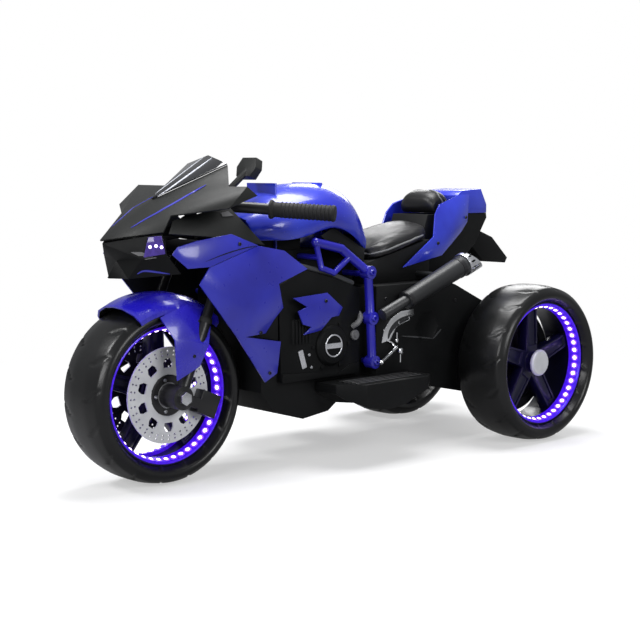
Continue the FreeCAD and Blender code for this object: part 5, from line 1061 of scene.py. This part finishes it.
# %% fork seals and grip ribs
fork_half_gap, head_back, head_rise = 0.078, 0.1316, 0.30265
seal_profile = [(0.1385, 0.0093), (0.1385, 0.0118), (0.1430, 0.0122), (0.1475, 0.0112), (0.1490, 0.0093)]
seal_steps, rib_steps = 28, 24
steer_lean = math.atan2(head_back, head_rise)
fork_way = Vector((0, math.sin(steer_lean), math.cos(steer_lean)))
seals = [turned(seal_profile, front_centre + Vector((side * fork_half_gap, 0, 0)), fork_way, seal_steps)
         for side in left_right]
add_piece("fork_seals", joined(seals), grip_rubber, "steering")
bar_bend, bar_end = Vector((0.0625, -0.2720, 0.4890)), Vector((0.2150, -0.1648, 0.4780))
grip_way = (bar_end - bar_bend).normalized()
rib_profile = [(-0.0016, 0.0132), (-0.0008, 0.0145), (0.0008, 0.0145), (0.0016, 0.0132)]
rib_count, rib_start, rib_step = 13, 0.0060, 0.0072
ribs = []
for index in range(rib_count):
    seat = bar_end - grip_way * (rib_start + index * rib_step)
    ribs += [turned(rib_profile, on_side(seat, side), on_side(grip_way, side), rib_steps) for side in left_right]
add_piece("grip_ribs", joined(ribs), grip_rubber, "steering")

# %% [markdown]
# The sham engine is a moulding dressed to look like metal. On the side that shows it has a silver plate, two
# bolts, a stub of grey pipe with a boss, and a dark hose along the cover's upper edge; the other side is taken
# to match. Each is a separate piece with its own finish rather than a painted patch, so it throws a small shadow.
# Plates are cut with rounded corners, and pipe and hose are tubes drawn through a few places.

# %% engine dress
cover_face, engine_bolt, round_sides = 0.103, 0.0030, 14
plate_lean, plate_place = Vector((0, -0.30, 0.954)), (cover_face, -0.1385, 0.2050)
bolt_places = [(cover_face, -0.1215, 0.2120), (cover_face, -0.1160, 0.1880)]
boss_place, boss_steps = (cover_face, -0.0060, 0.2400), 28
boss_profile = [(-0.001, 0.0100), (0.0040, 0.0100), (0.0052, 0.0088), (0.0052, 0.0050), (0.0070, 0.0044)]
pipe_radius, hose_radius = 0.0055, 0.0052
pipe_route = [(0.101, -0.010, 0.2560), (0.1085, -0.002, 0.2630), (0.1060, 0.008, 0.2730), (0.0960, 0.012, 0.2800)]
hose_route = [(0.094, -0.136, 0.3775), (0.096, -0.095, 0.3680), (0.0965, -0.060, 0.3588), (0.0965, -0.025, 0.3460),
              (0.095, -0.004, 0.3385)]
plates, bolts, pipes, hoses = [], [], [], []
for side in left_right:
    out = Vector((side, 0, 0))
    plates.append(plate(on_side(plate_place, side), plate_lean.cross(out), plate_lean, width=0.0115,
                        height=0.036, thick=0.0022, corner=0.002))
    bolts += [screw(on_side(place, side), out, engine_bolt) for place in bolt_places]
    pipes.append(turned(boss_profile, on_side(boss_place, side), out, boss_steps))
for pipe_path, hose_path in zip(each_side(pipe_route), each_side(hose_route)):
    pipes.append(tube(smooth_path(pipe_path), pipe_radius, round_sides))
    hoses.append(tube(smooth_path(hose_path), hose_radius, round_sides))
add_piece("engine_plates", joined(plates), silver_trim, "chassis")
add_piece("engine_bolts", joined(bolts), bright_steel, "chassis")
add_piece("engine_pipes", joined(pipes), grey_plastic, "chassis")
add_piece("engine_hoses", joined(hoses), slate_plastic, "chassis")

# %% [markdown]
# Between the fairings, behind the front wheel, a plain black shield closes the view into the body: a dark sheet put
# in for the shade there, as the dark middle of the photograph shows. Darkness alone could hide the inside, but not
# when light comes from behind. Low ribs stiffen it, and it stands just ahead of the belly's front wall, clear of
# the turning fork.

# %% inner shield
rightwards, backwards, upwards = (1, 0, 0), (0, 1, 0), (0, 0, 1)
shield_place = Vector((0, -0.2335, 0.339))
shield_ribs, lowest_rib, shield_pitch, rib_lift = 7, -0.036, 0.012, -0.0036
shield = [plate(shield_place, rightwards, upwards, width=0.168, height=0.090, thick=0.004, corner=0.010)]
for index in range(shield_ribs):
    level = Vector((0, rib_lift, lowest_rib + index * shield_pitch))
    shield.append(plate(shield_place + level, rightwards, upwards, width=0.150, height=0.004, thick=0.002,
                        corner=0.0015))
# The black shield is a dark sheet put in for the shade inside the body.
add_piece("inner_shade_shield", joined(shield), black_grain, "chassis")

# %% [markdown]
# Under the tank there is an air box, and in front of the seat a filler closes the slot between the mouldings. On
# the real machine both are plain black, and without them daylight would show through the body from the side. Two
# thick plates are enough, since only their edges are ever seen.

# %% air box and seat filler
air_box = plate((0, -0.142, 0.4035), rightwards, backwards, width=0.070, height=0.132, thick=0.040, corner=0.012)
seat_filler = plate((0, 0.0525, 0.385), rightwards, upwards, width=0.086, height=0.084, thick=0.008, corner=0.006)
add_piece("body_fillers", joined([air_box, seat_filler]), black_grain, "chassis")

# %% [markdown]
# Small shoes stand on the footboards, so a paler rubber strip lies in each groove between the ribs. Paler paint
# in the grooves would look the same from above, but a strip also shows at the groove's end. The pedal side has
# the same strips, kept below the ribs so that the pedal clears them.

# %% footboard strips
first_rib, rib_pitch, rib_width, groove_floor = 0.124, 0.012, 0.005, 0.1580
groove_count, strip_y, strip_sunk = 4, 0.026, 0.0002
strips = []
for index in range(groove_count):
    groove_x = first_rib + rib_width + index * rib_pitch + (rib_pitch - rib_width) / 2
    for side in left_right:
        strips.append(plate((side * groove_x, strip_y, groove_floor - strip_sunk), rightwards, backwards,
                            width=0.0056, height=0.176, thick=0.0013, corner=0.0022))
add_piece("footboard_strips", joined(strips), grey_plastic, "chassis")

# %% [markdown]
# The exhaust cans are sham too: a dark band clamps each end, and the bright tip has a ring of slots. Slots could
# be cut through, but nothing lies behind them, so thin black inlays on the tip's skin look the same and keep the
# solid whole. Bands are turned about the can's own axis.

# %% exhaust bands and slots
can_start, can_end = Vector((0.137, 0.100, 0.301)), Vector((0.137, 0.2624, 0.362))
can_way = (can_end - can_start).normalized()
band_places, band_steps = ((0.03, 0.0182), (0.93, 0.0216)), 40
band_half, band_flat, band_step = 0.0045, 0.0040, 0.0015
bands = []
for share, radius in band_places:
    low = radius - band_step
    profile = [(-band_half, low), (-band_flat, radius), (band_flat, radius), (band_half, low)]
    place = can_start.lerp(can_end, share)
    bands += [turned(profile, on_side(place, side), can_way, band_steps) for side in left_right]
add_piece("exhaust_bands", joined(bands), fork_black, "chassis")
tip_radius, slot_count, slot_reach = 0.024, 12, (0.005, 0.011, 0.017)
slots = []
for side in left_right:
    start, out = on_side(can_end, side), Vector((side, 0, 0))
    over = can_way.cross(out)
    for index in range(slot_count):
        turn = math.tau * (index + 0.5) / slot_count
        spoke = (out * math.cos(turn) + over * math.sin(turn)) * tip_radius
        run = [start + can_way * reach + spoke for reach in slot_reach]
        slots.append(strip_on("exhaust_tips", run, width=0.0052, lift=0.0003))
add_piece("exhaust_slots", joined(slots), black_grain, "chassis")

# %% [markdown]
# The bright heel guard is a curved plate with a dark strip along its middle, so only its outer edge shines, and a
# slot with a raised rim. Below it hang the lever's link and two domed pins. The rim could be a cut, but a thin wire
# bent round the slot catches the light as the real pressing does. The dark strip follows the guard's skin; the
# rest are tubes and turned domes.

# %% heel guard and lever hardware
guard_face, housing_face, slot_out = 0.116, 0.112, 0.0008
guard_middle_line = [(guard_face, 0.0735, 0.2265), (guard_face, 0.0785, 0.2390), (guard_face, 0.0890, 0.2495),
              (guard_face, 0.1030, 0.2575), (guard_face, 0.1180, 0.2630), (guard_face, 0.1400, 0.2685)]
slot_centre, slot_rise = Vector((guard_face + slot_out, 0.1165, 0.2595)), math.radians(14)
slot_half, slot_round, slot_steps = 0.0120, 0.0034, 8
wire_radius, wire_sides = 0.0009, 8
link_line = [(0.1150, 0.0690, 0.2240), (0.1165, 0.0830, 0.2180), (0.1180, 0.0915, 0.2090)]
link_radius, stem_radius, stem_out, pin_sunk, pin_steps = 0.0020, 0.0014, 0.0015, 0.0005, 24
pins = [(0.1001, 0.2208, 0.0048, 0.016), (0.1101, 0.1991, 0.0070, -0.022)]
pin_shares = [(0, 0.8), (0.25, 1.0), (0.6, 0.85), (0.9, 0.35)]
slot_rim = []
for end, start_turn in ((1, 0.0), (-1, math.pi)):
    bend = slot_centre + Vector((0, math.cos(slot_rise), math.sin(slot_rise))) * slot_half * end
    for step in range(slot_steps + 1):
        turn = slot_rise + math.pi * (step / slot_steps - 0.5) + start_turn
        slot_rim.append(bend + Vector((0, math.cos(turn), math.sin(turn))) * slot_round)
guard_dark_strips = [strip_on("foot_levers", way, width=0.0125, lift=0.0005) for way in each_side(guard_middle_line)]
brights = [tube(way, wire_radius, wire_sides, True) for way in each_side(slot_rim)]
brights += [tube(smooth_path(way), link_radius) for way in each_side(link_line)]
for side in left_right:
    for y, z, radius, stem in pins:
        dome = domed(radius, radius, pin_shares, pin_sunk)
        brights.append(turned(dome, (side * housing_face, y, z), (side, 0, 0), pin_steps))
        foot = Vector((side * (housing_face + stem_out), y, z))
        brights.append(tube([foot, foot + Vector((0, 0, stem))], stem_radius))
# A dark strip along the guard's middle, so only its outer edge shines.
add_piece("heel_guard_dark_strips", joined(guard_dark_strips), black_gloss, "chassis")
add_piece("lever_hardware", joined(brights), chrome, "chassis")

# %% [markdown]
# On the rear housing, behind the levers, a hexagonal recess has a raised lower edge that catches the light. The
# recess itself is cut in the solid; a paler strip along its rim is a painted highlight, which makes the edge
# readable on black. Like the other strips it lies on the housing's skin.

# %% recess edges, with painted highlights
recess_runs = [[(housing_face, 0.1133, 0.2285), (housing_face, 0.1588, 0.2226), (housing_face, 0.2054, 0.2157)],
               [(housing_face, 0.2054, 0.2157), (housing_face, 0.2170, 0.2244), (housing_face, 0.2287, 0.2331)]]
edges = [strip_on("rear_housing", way, width=0.0034, lift=0.0014) for run in recess_runs for way in each_side(run)]
# The strips' paler plastic is a painted highlight on the recess edge.
add_piece("recess_painted_highlights", joined(edges), slate_plastic, "chassis")
